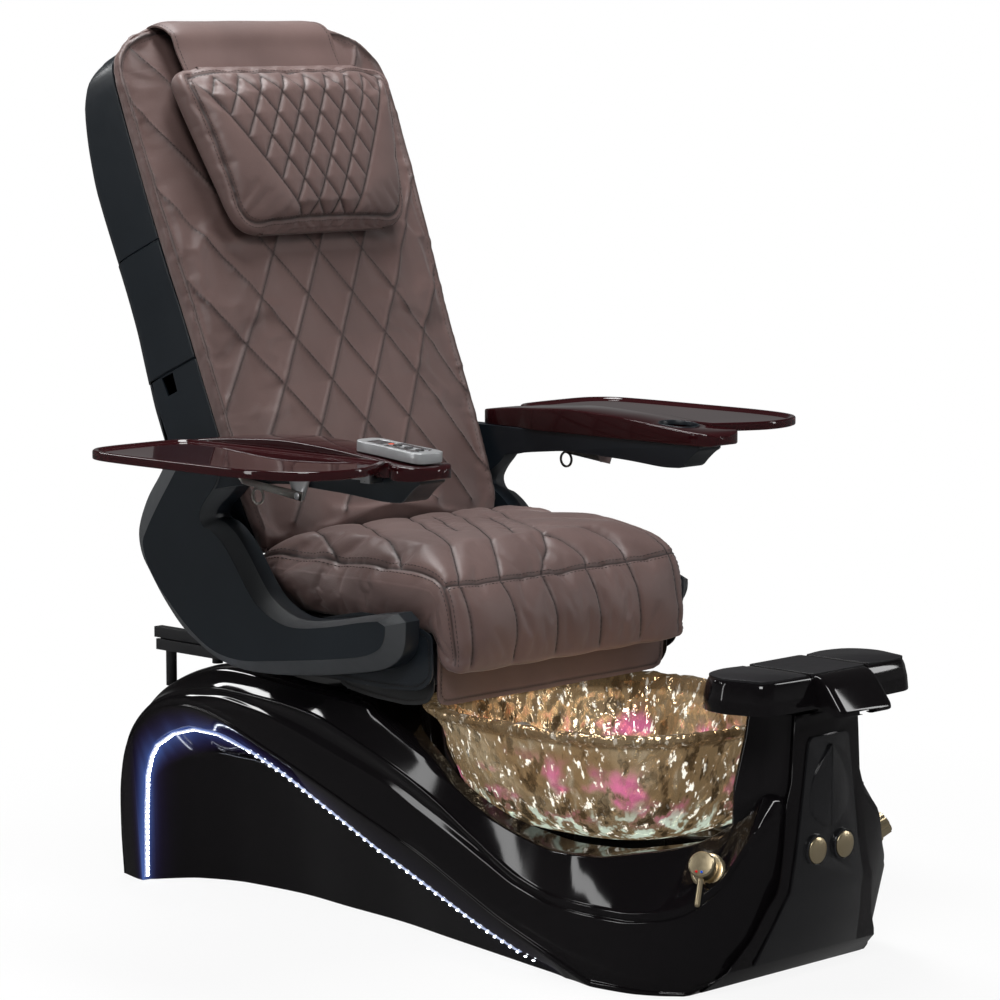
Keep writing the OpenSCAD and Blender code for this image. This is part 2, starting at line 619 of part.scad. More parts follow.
seat_line = [[322, 508], [200, 506], [60, 504], [-60, 501], [-92, 494], [-108, 454],
    [-122, 443], [-138, 445], [-137, 478], [-132, 512], [-127, 545], [-116, 572],
    [-102, 588], [-80, 600], [-50, 608], [0, 612], [60, 613], [120, 611], [160, 613],
    [200, 610], [240, 609], [262, 606], [280, 600], [300, 590], [318, 574], [330, 552],
    [330, 530]];

// Crowned cushion: sides draw in to the seam, four channels run front to back.
module seat_cushion() color([0.36, 0.26, 0.2]) {
    half = [0, 40, 81, 88, 95, 130, 172, 179, 186, 215, 240, 254, 264, seat_half];
    xs = concat([for (i = [len(half) - 1:-1:1]) half[i]], [for (a = half) -a]);
    skin([for (x = xs) let (a = abs(x), e = max(0, (a - 232) / (seat_half - 232)),
            up = 1 - 0.55 * e * e * e, dn = 1 - 0.14 * e * e, in = 1 - 0.035 * e * e,
            c = (a == 88 || a == 179) ? channel : 0)
        [for (p = seat_line) let (
            z = p.y > seat_seam ? seat_seam + (p.y - seat_seam) * up - c
                : seat_seam + (p.y - seat_seam) * dn,
            y = 100 + (p.x - 100) * in + (p.x < -110 ? c : 0),
            tuft = (a < 82 && (p.x == 120 || p.x == 200)) ? 4 : 0)
            [x, y, z - tuft]]]);
}

module side_skirt(s) color([0.34, 0.25, 0.19]) side(s) side_view(280, 284)
    polygon([[-32, 519], [-98, 500], [-101, 431], [-75, 412], [-20, 405], [78, 405],
             [140, 410], [150, 500], [60, 519]]);

module lower_flaps() color([0.3, 0.3, 0.32]) for (s = [-1, 1]) side(s) side_view(267, 270)
    polygon([[-90, 430], [-90, 412], [-77, 389], [-38, 381], [29, 382], [96, 390], [120, 396],
             [120, 430]]);

module front_flap() color([0.34, 0.25, 0.19]) front_view(-93, -89)
    polygon([[-261, 476], [-261, 384], [261, 384], [261, 476]]);

// ---- Arms ----

arm_loop = concat(
    curve([[462, 748], [486, 710], [519, 660], [540, 609], [533, 570], [511, 540], [475, 497],
           [432, 457], [388, 433], [352, 417], [302, 407], [239, 405], [141, 413], [39, 428],
           [-32, 443], [-62, 462], [-77, 486], [-80, 522], [-64, 534]], 2),
    curve([[-5, 525], [62, 511], [130, 502], [171, 506], [213, 525], [240, 551], [268, 587],
           [296, 618], [324, 637], [345, 643], [349, 652], [338, 667], [309, 684], [281, 694],
           [249, 706], [154, 718], [88, 715], [21, 713], [-34, 709], [-93, 708], [-112, 732],
           [-137, 744]], 2), [[-137, 748]]);
arm_face = concat(
    curve([[372, 716], [420, 688], [453, 659], [483, 618], [495, 589], [474, 543], [419, 491],
           [371, 456], [323, 434], [264, 427], [194, 434], [80, 449], [-10, 464], [-50, 480],
           [-62, 500], [-62, 520]], 2),
    curve([[-46, 522], [-5, 515], [62, 501], [130, 492], [176, 497], [220, 517], [248, 544],
           [276, 580], [303, 610], [330, 628], [352, 634], [359, 652], [346, 675],
           [330, 690]], 2));

module arm(s) color([0.12, 0.13, 0.17]) side(s) {
    side_view(arm_in, arm_rim) polygon(arm_loop);
    side_view(arm_rim, arm_out) polygon(arm_face);
    side_view(arm_rim, arm_out) polygon([[-128, 744], [-104, 716], [300, 718], [330, 726],
        [330, 746], [-128, 746]]);
}

pad_plan = concat(
    curve([[pad_in, 225], [pad_in, 0], [pad_in, -130], [290, -150], [306, -160], [345, -160],
           [370, -153], [383, -136], [385, -118], [378, -104], [pad_out, -92]], 3),
    curve([[pad_out, 60], [pad_out, 200], [pad_out, 340], [360, 362], [342, 372], [314, 370],
           [300, 356], [297, 330], [296, 275], [290, 245]], 3));
pad_side = concat([[380, pad_bottom]], curve([[380, 771], [309, 779], [230, 785], [145, 789],
    [60, 786], [-40, 778], [-120, 771], [-152, 768], [-162, 762]], 3), [[-162, pad_bottom]]);

module arm_pad(s) color([0.33, 0.03, 0.06]) difference() {
    side(s) intersection() {
        translate([0, 0, pad_bottom]) linear_extrude(60) polygon(pad_plan);
        side_view(250, 420) polygon(pad_side);
    }
    if (s > 0) translate([328, -62, 753]) cylinder(h = 60, r = cup_r);
}

leaf_plan = concat([[376, -92]], curve([[392, -103], [430, -128], [470, -143], [520, -138],
    [566, -112], [592, -66], [leaf_out, 10], [leaf_out, 120], [leaf_out, 250], [598, 318],
    [574, 352], [540, 365], [470, 365], [410, 362], [384, 350], [376, 330]], 3));
knuckles = [-40, 60, 230, 310];

// Tray leaf: thin plate with a raised rim, ribs below, and its half of the hinge.
module tray_leaf(s) color([0.33, 0.03, 0.06]) side(s) difference() {
    union() {
        translate([0, 0, leaf_bottom]) linear_extrude(leaf_t) polygon(leaf_plan);
        for (y = knuckles) {
            translate([leaf_axis_x, 0, leaf_axis_z]) rod_y(y + 0.5, y + 22, 5.4);
            translate([leaf_axis_x, y + 0.5, leaf_axis_z]) cube([16, 21.5, 6 + eps]);
        }
    }
    translate([0, 0, leaf_bottom + leaf_t - 4]) linear_extrude(10) polygon(inset(leaf_plan, 9));
    translate([0, 0, leaf_bottom - 1]) linear_extrude(5) polygon(inset(leaf_plan, 22));
    translate([leaf_axis_x, 0, leaf_axis_z]) rod_y(-100, 400, leaf_pin_r + 0.05);
}

latch_y = 123;
latch_z = 702;

// Fixed hinge hangers under the pad, with the catch plate, its rivet and its stop.
module tray_hinge(s) color([0.55, 0.56, 0.58]) side(s) {
    for (y = knuckles) {
        translate([leaf_axis_x, 0, leaf_axis_z]) rod_y(y - 20, y, 5.4);
        translate([leaf_axis_x - 5.4, y - 20, 738]) cube([5.4 + 4, 20, 18]);
        translate([arm_out, y - 20, 738]) cube([leaf_axis_x - arm_out, 20, 8]);
        translate([leaf_axis_x, 0, leaf_axis_z]) rod_y(y - 20, y + 23, leaf_pin_r);
    }
    translate([arm_out, -60, 738]) cube([2, 370, 8]);
    side_view(arm_out, arm_out + 2) polygon([[94, 740], [152, 740], [134, 696], [112, 696]]);
    translate([0, latch_y, latch_z]) rod_x(arm_out, arm_out + 7, 3);
    translate([0, latch_y, latch_z]) rod_x(arm_out + 5.6, arm_out + 7.4, 6);
    side_view(arm_out, arm_out + 9) polygon([[262, 722], [284, 722], [284, 742], [262, 742]]);
}

// Catch lever: strip on a rivet, hooked at its rear end, with a pull ring.
module latch_lever(s) color([0.75, 0.76, 0.78]) side(s) translate([0, latch_y, latch_z]) difference() {
    union() {
        rotate([6, 0, 0]) side_view(arm_out + 2.6, arm_out + 5) polygon([[-9, -7], [40, -6],
            [128, -5], [136, 2], [136, 14], [130, 14], [126, 5], [40, 6], [-9, 7]]);
        translate([0, 92, -8]) rod_x(arm_out + 2.6, arm_out + 5, 14);
    }
    translate([0, 92, -8]) rod_x(arm_out, arm_out + 10, 10.5);
    rod_x(arm_out, arm_out + 10, 3.05);
}

// ---- Handset ----

module at_remote() translate([-328, -72, 777.4]) rotate([4.4, 0, 0]) children();

remote_plan = curve([[0, -75], [18, -74], [27, -66], [29, -40], [26, 20], [27, 50], [24, 66],
    [12, 74], [0, 75]], 3);

module remote_body() color([0.72, 0.73, 0.75]) at_remote() difference() {
    linear_extrude(16) polygon(concat(remote_plan, mirror_x(remote_plan)));
    translate([0, 0, 14]) linear_extrude(4) polygon([[-17, 20], [17, 20], [16, 58], [-16, 58]]);
    for (y = [-46, -22, 2]) translate([0, y, 9]) cylinder(h = 20, r = 7.4);
}

module remote_key(i) color([0.15, 0.15, 0.16]) at_remote() translate([0, -46 + 24 * i, 0]) {
    translate([0, 0, 10.2]) cylinder(h = 7, r = 7);
}

// ---- Backrest, drawn upright about its reference point, then raked ----

module at_back() translate([0, 318, 510]) rotate([-rake, 0, 0]) children();

back_half = [[80, 268], [120, 274], [250, 282], [480, 286], [560, 292], [700, 299],
    [860, 303], [896, 300], [925, 288], [948, 258], [962, 214], [968, 170]];
back_front = [[80, -86], [96, -106], [110, -112], [400, -111], [573, -116], [700, -118],
    [850, -114], [920, -108], [948, -98], [962, -84], [968, -72]];
back_rear = [[80, -36], [480, -37], [692, -44], [924, -52], [968, -58]];

// Quilted front face: a crown with shallow diamonds sewn into it.
module back_cushion() color([0.36, 0.26, 0.2]) at_back() {
    n = 24;
    levels = concat([968, 962, 952, 940, 926, 912], [for (i = [32:-1:0]) 112 + i * 24.7],
        [98, 88, 80]);
    skin([for (z = levels) let (h = lookup(z, back_half), f = lookup(z, back_front),
            r = lookup(z, back_rear), seam = min(r - 14, f + 34))
        [for (p = concat([[h - 5, r], [h, (r + seam) / 2], [h - 5, seam]],
            [for (i = [1:n - 1]) let (x = (h - 5) * (1 - 2 * i / n), u = abs(x) / h,
                q = (z > 110 && z < 900 && u < 0.86)
                    ? 4 * abs(sin(180 * (x / 96 + z / 98)) * sin(180 * (x / 96 - z / 98))) : 0)
                [x, seam + (f - seam + 4) * (1 - pow(u, 3)) - q]],
            [[5 - h, seam], [-h, (r + seam) / 2], [5 - h, r]])) [p.x, p.y, z]]]);
}

shell_rear = [[96, 96], [150, 112], [308, 121], [354, 121], [414, 116], [497, 106],
    [567, 99], [725, 95], [784, 86], [858, 65], [905, 41], [922, 12]];

function shell_ring(z, w) = let (h = lookup(z, back_half) - 4 - w, y0 = lookup(z, back_rear) + 2,
        y1 = max(y0 + 6, lookup(z, shell_rear) - w),
        half = [[h, y0], [h - 1, y0 + 0.5 * (y1 - y0)], [h - 6, y1 - 0.14 * (y1 - y0)],
                [h - 22, y1], [0.5 * h, y1 + 6], [0.18 * h, y1 + 9]])
    [for (p = concat(half, mirror_x(half))) [p.x, p.y, z]];

// Rear shell: rounded box that closes over the top, open to the cushion.
module back_shell() color([0.1, 0.1, 0.12]) at_back() difference() {
    skin([for (z = [96, 150, 230, 308, 354, 414, 497, 567, 640, 725, 784, 830, 858, 884, 905,
                    922]) shell_ring(z, 0)]);
    skin([for (z = [90, 150, 308, 414, 497, 567, 725, 784, 858, 890]) [for (p = shell_ring(z, 5))
        [p.x, p.y < lookup(z, back_rear) + 8 ? lookup(z, back_rear) - 6 : p.y, p.z]]]);
}

module back_frame() color([0.16, 0.16, 0.18]) {
    difference() {
        for (s = [-1, 1]) side(s) side_view(226, 233) polygon([[312, 470], [326, 460],
            [344, 462], [400, 590], [452, 720], [420, 732], [364, 610], [350, 505], [330, 496],
            [314, 490]]);
        translate([0, hinge_y, hinge_z]) rod_x(-300, 300, hinge_r + 0.05);
    }
    at_back() {
        for (s = [-1, 1]) translate([s * 229.5 - 9.5, 6, 205]) cube([19, 34, 655]);
        for (z = [215, 820]) translate([-220, -32, z]) cube([440, 60, 26]);
        for (x = [-50, 50]) translate([x, 0, 241 - eps]) cylinder(h = 579 + 2 * eps, r = 6);
    }
}

module massage_carriage() color([0.3, 0.3, 0.33]) at_back() difference() {
    union() {
        translate([-75, -12, 330]) cube([150, 34, 60]);
        for (x = [-38, 38], z = [330, 390]) translate([x, -18, z]) rod_x(-11, 11, 15);
        for (x = [-1, 1]) translate([x * 38 - 5, -20, 330]) cube([10, 20, 60]);
    }
    for (x = [-50, 50]) translate([x, 0, 300]) cylinder(h = 120, r = 6.05);
}

pillow_levels = [[580, 150, 6], [585, 176, 14], [596, 186, 24], [620, 192, 32],
    [660, 200, 40], [700, 208, 46], [740, 216, 51], [780, 224, 55], [815, 230, 57],
    [838, 234, 54], [852, 232, 44], [861, 222, 26], [866, 196, 10]];

module head_pillow() color([0.38, 0.28, 0.21]) at_back() skin([for (i = [len(pillow_levels) - 1:-1:0])
    let (l = pillow_levels[i], back = -119) [for (p = concat([[l.y - 4, back], [l.y, back - 0.3 * l.z]],
        [for (i = [1:11]) let (x = (l.y - 4) * (1 - i / 6), u = abs(x) / l.y)
            [x, back - l.z * (1 - 0.55 * pow(u, 4))]],
        [[-l.y, back - 0.3 * l.z], [4 - l.y, back]])) [p.x, p.y, l.x]]]);

// Wide leather strap from the pillow over the top of the back.
strap_line = [[-140, 867], [-124, 884], [-114, 905], [-112, 925], [-104, 950], [-88, 968],
    [-66, 973], [-50, 968], [-46, 950], [-46, 925], [8, 925]];

module pillow_strap() color([0.36, 0.26, 0.2]) at_back() side_view(-175, 175)
    polygon(concat(strap_line, [for (i = [len(strap_line) - 1:-1:0])
        let (p = strap_line[i], a = strap_line[max(i - 1, 0)],
             b = strap_line[min(i + 1, len(strap_line) - 1)], d = (b - a) / norm(b - a))
        p + [-d.y, d.x] * 3.5]));

hull();
led_strip(1);  // led_strip_l
led_strip(-1);  // led_strip_r
front_cover();
front_panel();
push_button(1);  // button_l
push_button(-1);  // button_r
foot_bowl();
bowl_gasket();
drain_ring();
drain_stopper();
bowl_light();
jet_housing();
jet_impeller();
mixer_ring();
mixer_ball();
mixer_cap();
knob_ring();
diverter_knob();
footrest_rail();
footrest_base();
footrest_pad(1);  // footrest_pad_l
footrest_pad(-1);  // footrest_pad_r
lower_rail(1);  // lower_rail_l
lower_rail(-1);  // lower_rail_r
slide_tube();
base_frame();
pump();
waste_pipe();
upper_rail(1);  // upper_rail_l
upper_rail(-1);  // upper_rail_r
seat_frame();
slide_rod();
seat_pan();
seat_cushion();
side_skirt(1);  // side_skirt_l
side_skirt(-1);  // side_skirt_r
lower_flaps();
front_flap();
arm(1);  // arm_l
arm(-1);  // arm_r
arm_pad(1);  // arm_pad_l
arm_pad(-1);  // arm_pad_r
tray_hinge(1);  // tray_hinge_l
tray_hinge(-1);  // tray_hinge_r
latch_lever(1);  // latch_lever_l
latch_lever(-1);  // latch_lever_r
tray_leaf(1);  // tray_leaf_l
tray_leaf(-1);  // tray_leaf_r
remote_body();
remote_key(0);  // remote_key_a
remote_key(1);  // remote_key_b
remote_key(2);  // remote_key_c
back_frame();
back_shell();
back_cushion();
head_pillow();
pillow_strap();
massage_carriage();
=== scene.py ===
import json
import math
import bmesh
import bpy
import numpy as np
from mathutils import Matrix, Vector, noise
from mathutils.kdtree import KDTree

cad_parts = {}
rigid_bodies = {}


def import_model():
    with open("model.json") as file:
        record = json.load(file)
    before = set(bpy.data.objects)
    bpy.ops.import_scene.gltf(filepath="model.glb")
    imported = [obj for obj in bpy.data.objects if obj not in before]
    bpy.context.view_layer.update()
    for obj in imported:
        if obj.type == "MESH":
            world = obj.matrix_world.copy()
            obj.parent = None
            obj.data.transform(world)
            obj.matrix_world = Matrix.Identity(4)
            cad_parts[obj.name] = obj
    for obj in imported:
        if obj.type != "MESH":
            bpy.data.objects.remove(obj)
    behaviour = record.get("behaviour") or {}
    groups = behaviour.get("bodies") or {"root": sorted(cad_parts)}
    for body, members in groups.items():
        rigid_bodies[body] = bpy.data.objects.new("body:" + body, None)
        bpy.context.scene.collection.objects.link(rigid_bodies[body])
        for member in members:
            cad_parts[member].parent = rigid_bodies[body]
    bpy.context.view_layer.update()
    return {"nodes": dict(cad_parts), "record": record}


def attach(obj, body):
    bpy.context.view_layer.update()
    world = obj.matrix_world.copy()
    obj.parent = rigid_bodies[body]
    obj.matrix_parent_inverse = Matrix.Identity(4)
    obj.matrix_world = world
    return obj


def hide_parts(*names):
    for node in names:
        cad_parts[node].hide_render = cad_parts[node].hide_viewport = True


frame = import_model()


# ---- Studio ----
# A pale floor, a bright surround near the horizon and a dark ceiling with soft
# boxes, so that the polished shell shows long highlights on black.
MM = 0.001


def clear():
    """Leaves nothing selected."""
    if bpy.context.object and bpy.context.object.mode != "OBJECT":
        bpy.ops.object.mode_set(mode="OBJECT")
    for other in bpy.context.view_layer.objects:
        other.select_set(False)


def pick(piece):
    """Selects one piece alone and makes it active."""
    clear()
    piece.select_set(True)
    bpy.context.view_layer.objects.active = piece


clear()
bpy.ops.object.camera_add(location=(-4.493, -4.3095, 1.450),
                          rotation=(math.radians(90 - 7.1), 0, math.radians(-46)))
camera = bpy.context.object
camera.data.lens, camera.data.sensor_width = 141.65, 36
camera.data.clip_end = 60
bpy.context.scene.camera = camera
bpy.context.scene.view_settings.view_transform = "Standard"


class Tone:
    """A socket of a node tree; arithmetic on it adds the Math nodes."""

    def __init__(self, graph, socket):
        self.graph, self.socket = graph, socket

    def _math(self, operation, *values):
        return self.graph.node("ShaderNodeMath", dict(operation=operation), values)

    def __add__(self, other):
        return self._math("ADD", self, other)

    def __radd__(self, other):
        return self._math("ADD", other, self)

    def __sub__(self, other):
        return self._math("SUBTRACT", self, other)

    def __rsub__(self, other):
        return self._math("SUBTRACT", other, self)

    def __mul__(self, other):
        return self._math("MULTIPLY", self, other)

    def __rmul__(self, other):
        return self._math("MULTIPLY", other, self)

    def __pow__(self, other):
        return self._math("POWER", self, other)

    def above(self, edge, width):
        """0 under edge, 1 over edge + width, smooth between."""
        return self.graph.node("ShaderNodeMapRange", dict(interpolation_type="SMOOTHSTEP"),
                               {0: self, 1: edge, 2: edge + width, 3: 0.0, 4: 1.0})


class Graph:
    """Adds nodes to a node tree."""

    def __init__(self, tree):
        self.tree = tree

    def node(self, kind, settings=(), values=(), output=0):
        made = self.tree.nodes.new(kind)
        for key, value in dict(settings).items():
            setattr(made, key, value)
        pairs = values.items() if isinstance(values, dict) else enumerate(values)
        for key, value in pairs:
            if isinstance(value, Tone):
                self.tree.links.new(value.socket, made.inputs[key])
            else:
                made.inputs[key].default_value = value
        return Tone(self, made.outputs[output])

    def blend(self, share, first, second):
        """Colour mix of first and second by share."""
        return self.node("ShaderNodeMix", dict(data_type="RGBA"),
                         {0: share, 6: first, 7: second}, 2)


class Finish(Graph):
    """A procedural finish on a Principled shader."""

    def __init__(self, name, **fixed):
        self.material = bpy.data.materials.new(name)
        self.material.use_nodes = True
        super().__init__(self.material.node_tree)
        self.shader = self.tree.nodes["Principled BSDF"]
        for socket, value in fixed.items():
            self.shader.inputs[socket.replace("_", " ")].default_value = value
        self.place = self.node("ShaderNodeTexCoord", {}, (), "Object")

    def noise(self, scale, detail=3.0, rough=0.5, stretch=None):
        place = self.place
        if stretch:
            place = self.node("ShaderNodeMapping", {}, {"Vector": place, "Scale": stretch})
        return self.node("ShaderNodeTexNoise", {}, {"Vector": place, "Scale": scale,
                         "Detail": detail, "Roughness": rough}, "Fac")

    def cells(self, scale, output="Distance"):
        return self.node("ShaderNodeTexVoronoi", {}, {"Vector": self.place, "Scale": scale},
                         output)

    def flakes(self, scale, rarity):
        """Small bright flakes: the middles of a few cells picked by their colour."""
        middle = 1 - self.cells(scale).above(0.0, 0.06)
        chance = self.node("ShaderNodeSeparateColor", {}, (self.cells(scale, "Color"),), "Red")
        return middle * chance.above(rarity, 0.002)

    def own(self, name):
        """A value kept at the mesh's own vertices."""
        return self.node("ShaderNodeAttribute", dict(attribute_name=name), (), "Fac")

    def feed(self, socket, tone):
        self.tree.links.new(tone.socket, self.shader.inputs[socket])

    def bump(self, height, distance, strength=1.0):
        self.feed("Normal", self.node("ShaderNodeBump", {}, {"Strength": strength,
                  "Distance": distance, "Height": height}, "Normal"))


def mottled(name, scale, dark, light, rough=None, socket="Base Color", **fixed):
    """A finish clouded between two colours; rough holds its base, spread and noise settings."""
    look = Finish(name, **fixed)
    look.feed(socket, look.blend(look.noise(*np.atleast_1d(scale).tolist()), (*dark, 1),
                                 (*light, 1)))
    if rough:
        base, spread, *settings = rough
        look.feed("Roughness", base + spread * look.noise(*settings))
    return look


def paint(piece, finish):
    piece.data.materials.clear()
    piece.data.materials.append(finish.material)


def dress(piece, look, body):
    """Finish, moving body and material slot of a piece."""
    paint(piece, look)
    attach(piece, body)


clear()
bpy.ops.mesh.primitive_plane_add(size=60, location=(0, 0, -0.0005))
floor = bpy.context.object
floor.name = "floor"
paper = Finish("floor_paper", Base_Color=(0.86, 0.86, 0.86, 1), Roughness=0.9)
seen, glossy = (paper.node("ShaderNodeLightPath", {}, (), name)
                for name in ("Is Camera Ray", "Is Glossy Ray"))
glow = paper.node("ShaderNodeEmission", {}, {"Color": (1, 1, 1, 1), "Strength": 1.0})
dim = paper.node("ShaderNodeEmission", {}, {"Color": (0.13, 0.13, 0.13, 1)})
away = paper.node("ShaderNodeVectorMath", dict(operation="LENGTH"), (paper.place,), 1)
both = paper.node("ShaderNodeMixShader", {}, {0: seen * (0.90 + 0.10 * away.above(0.9, 0.9)),
                  1: Tone(paper, paper.shader.outputs[0]), 2: glow})
both = paper.node("ShaderNodeMixShader", {}, {0: glossy, 1: both, 2: dim})
paper.tree.links.new(both.socket, paper.tree.nodes["Material Output"].inputs[0])
paint(floor, paper)

world = bpy.data.worlds.new("surround")
bpy.context.scene.world = world
world.use_nodes = True
around = Graph(world.node_tree)
heading = around.node("ShaderNodeTexCoord", {}, (), "Generated")
climb = around.node("ShaderNodeSeparateXYZ", {}, (heading,), "Z")
climb = around.node("ShaderNodeMath", dict(operation="MULTIPLY_ADD"), (climb, 0.5, 0.5))
sky = around.node("ShaderNodeValToRGB", {}, (climb,))
ramp = sky.socket.node.color_ramp.elements
for element, (at, value) in zip(ramp, ((0.53, 0.18), (0.66, 0.05))):
    element.position, element.color = at, (value, value, value, 1)
seen, through = (around.node("ShaderNodeLightPath", {}, (), name)
                 for name in ("Is Camera Ray", "Is Transmission Ray"))
lens_rays = around.node("ShaderNodeMath", dict(operation="MAXIMUM"), (seen, through))
backdrop = around.tree.nodes["Background"]
around.tree.links.new(around.blend(lens_rays, sky, (1, 1, 1, 1)).socket,
                      backdrop.inputs["Color"])
backdrop.inputs["Strength"].default_value = 1.0


def soft_box(name, place, target, size, watts):
    clear()
    bpy.ops.object.light_add(type="AREA", location=place)
    lamp = bpy.context.object
    lamp.name = name
    lamp.rotation_euler = (Vector(target) - Vector(place)).to_track_quat("-Z", "Y").to_euler()
    lamp.data.shape = "RECTANGLE"
    lamp.data.size, lamp.data.size_y = size
    lamp.data.energy = watts


soft_box("key_box", (-2.6, -2.6, 3.4), (0, 0, 0.6), (1.6, 1.1), 90)
soft_box("top_box", (0.1, 0.5, 3.4), (0, 0.1, 0.5), (0.7, 2.6), 98)
soft_box("rear_box", (-1.7, 2.9, 2.5), (-0.2, 0.2, 0.4), (2.4, 0.26), 42)
soft_box("left_strip", (-3.4, 1.6, 1.6), (0, 0.1, 0.6), (0.28, 2.4), 15)
soft_box("right_strip", (2.6, -2.4, 1.8), (0, -0.1, 0.6), (0.35, 2.0), 20)

# ---- Moulded shell ----
# One gloss-black gel-coated moulding: a wave of ribs runs from the rear hump to
# the toe, arches are scooped out of both flanks, and a tub takes the bowl.


def flow(line, at):
    """Smooth reading of a list of (place, value) points."""
    t, v = np.array(line, float).T
    h, d = np.diff(t), np.diff(v) / np.diff(t)
    slope = np.zeros_like(v)
    same = d[1:] * d[:-1] > 0
    slope[1:-1][same] = 2 * (d[1:] * d[:-1])[same] / (d[1:] + d[:-1])[same]
    slope[0], slope[-1] = d[0], d[-1]
    at = np.clip(np.atleast_1d(np.asarray(at, float)), t[0], t[-1])
    i = np.clip(np.searchsorted(t, at, side="right") - 1, 0, len(t) - 2)
    u = (at - t[i]) / h[i]
    return ((2 * u ** 3 - 3 * u ** 2 + 1) * v[i] + (u ** 3 - 2 * u ** 2 + u) * h[i] * slope[i]
            + (3 * u ** 2 - 2 * u ** 3) * v[i + 1] + (u ** 3 - u ** 2) * h[i] * slope[i + 1])


def eased(points, radii, steps=3):
    """The closed outline with its corners rounded over, steps + 1 points to a corner."""
    points = np.array(points, float)
    out = []
    for a, b, c, radius in zip(np.roll(points, 1, 0), points, np.roll(points, -1, 0), radii):
        u, v = a - b, c - b
        lu, lv = max(np.linalg.norm(u), 1e-6), max(np.linalg.norm(v), 1e-6)
        r = min(radius, 0.45 * lu, 0.45 * lv)
        p, q = b + u / lu * r, b + v / lv * r
        for t in np.linspace(0, 1, steps + 1):
            out.append((1 - t) ** 2 * p + 2 * t * (1 - t) * b + t * t * q)
    return np.array(out)


def both_sides(half):
    """Half an outline and its mirror image across x = 0."""
    return [tuple(p) for p in half] + [(-x, y) for x, y in half[::-1]]


def circle(x, y, radius, count):
    turn = np.linspace(0, 2 * math.pi, count, endpoint=False)
    return np.stack([x + radius * np.cos(turn), y + radius * np.sin(turn)], 1)


def stood(line, axis, at):
    """A flat line set up in space, square to axis and at one place along it."""
    return np.insert(np.asarray(line, float), axis, at, axis=1)


def edit(*steps):
    """Runs mesh operators on all of the active piece: pairs of name and settings."""
    bpy.ops.object.mode_set(mode="EDIT")
    bpy.ops.mesh.select_all(action="SELECT")
    for name, settings in steps:
        getattr(bpy.ops.mesh, name)(**settings)
    bpy.ops.object.mode_set(mode="OBJECT")


weld = ("remove_doubles", dict(threshold=1e-5))
outward = ("normals_make_consistent", dict(inside=False))


def shade(piece, angle):
    """Smooth shading over all edges duller than angle."""
    pick(piece)
    bpy.ops.object.shade_smooth_by_angle(angle=math.radians(angle))


def modify(piece, kind, **settings):
    """Adds a modifier and applies it."""
    pick(piece)
    added = piece.modifiers.new("step", kind)
    for key, value in settings.items():
        setattr(added, key, value)
    bpy.ops.object.modifier_apply(modifier="step")


def read(data, name, size=3):
    """Values of a mesh's vertices, or of its attribute, as rows."""
    flat = np.empty(len(data) * size, np.float32 if name == "vector" else float)
    data.foreach_get(name, flat)
    return flat.reshape(-1, size).astype(float)


def places(piece):
    return read(piece.data.vertices, "co")


def facing(piece):
    return read(piece.data.vertex_normals, "vector")


def put(piece, where):
    piece.data.vertices.foreach_set("co", np.ascontiguousarray(where).ravel())
    piece.data.update()


def sheet_grid(name, columns, rows):
    """Grid in -1 to 1, with the number of each vertex's column and row."""
    clear()
    bpy.ops.mesh.primitive_grid_add(x_subdivisions=columns - 1, y_subdivisions=rows - 1, size=2)
    piece = bpy.context.object
    piece.name = piece.data.name = name
    flat = places(piece)
    i, j = (np.rint((flat[:, k] + 1) / 2 * (n - 1)).astype(int)
            for k, n in ((0, columns), (1, rows)))
    return piece, i, j


def loft(name, rings, ends=True, torus=False, smooth=40):
    """Grid of quads laid through closed rings of equal point count, in millimetres."""
    rings = np.array(rings, float) * MM
    if ends and not torus:
        first, last = rings[0].mean(0), rings[-1].mean(0)
        rings = np.concatenate([[np.tile(first, (rings.shape[1], 1))], rings,
                                [np.tile(last, (rings.shape[1], 1))]])
    rings = np.concatenate([rings, rings[:, :1]], 1)
    if torus:
        rings = np.concatenate([rings, rings[:1]], 0)
    piece, i, j = sheet_grid(name, rings.shape[1], rings.shape[0])
    piece.data.vertices.foreach_set("co", rings[j, i].ravel())
    edit(weld, outward)
    while piece.data.uv_layers:
        piece.data.uv_layers.remove(piece.data.uv_layers[0])
    shade(piece, smooth)
    return piece


def prism(name, outline, axis, low, high):
    """Solid: an outline in the plane square to axis, drawn out from low to high."""
    clear()
    bpy.ops.mesh.primitive_circle_add(vertices=len(outline), radius=1, fill_type="NGON")
    piece = bpy.context.object
    piece.name = name
    piece.data.vertices.foreach_set("co", (stood(outline, axis, low) * MM).ravel())
    move = [0.0, 0.0, 0.0]
    move[axis] = (high - low) * MM
    edit(("extrude_region_move", dict(TRANSFORM_OT_translate={"value": move})),
         ("select_all", dict(action="SELECT")), outward)
    return piece


def carve(piece, cutter, operation="DIFFERENCE"):
    """Boolean with a cutter, which is used up."""
    modify(piece, "BOOLEAN", operation=operation, solver="EXACT", object=cutter)
    bpy.data.objects.remove(cutter)


BOWL_Y = -231


def squared(a, b, z, power=2.6, count=96):
    """Ring of a squared oval round the bowl's middle at height z."""
    t = np.linspace(0, 2 * math.pi, count, endpoint=False)
    c, s = np.cos(t), np.sin(t)
    return stood(np.stack([a * np.sign(c) * abs(c) ** (2 / power),
                           BOWL_Y + b * np.sign(s) * abs(s) ** (2 / power)], 1), 2, z)


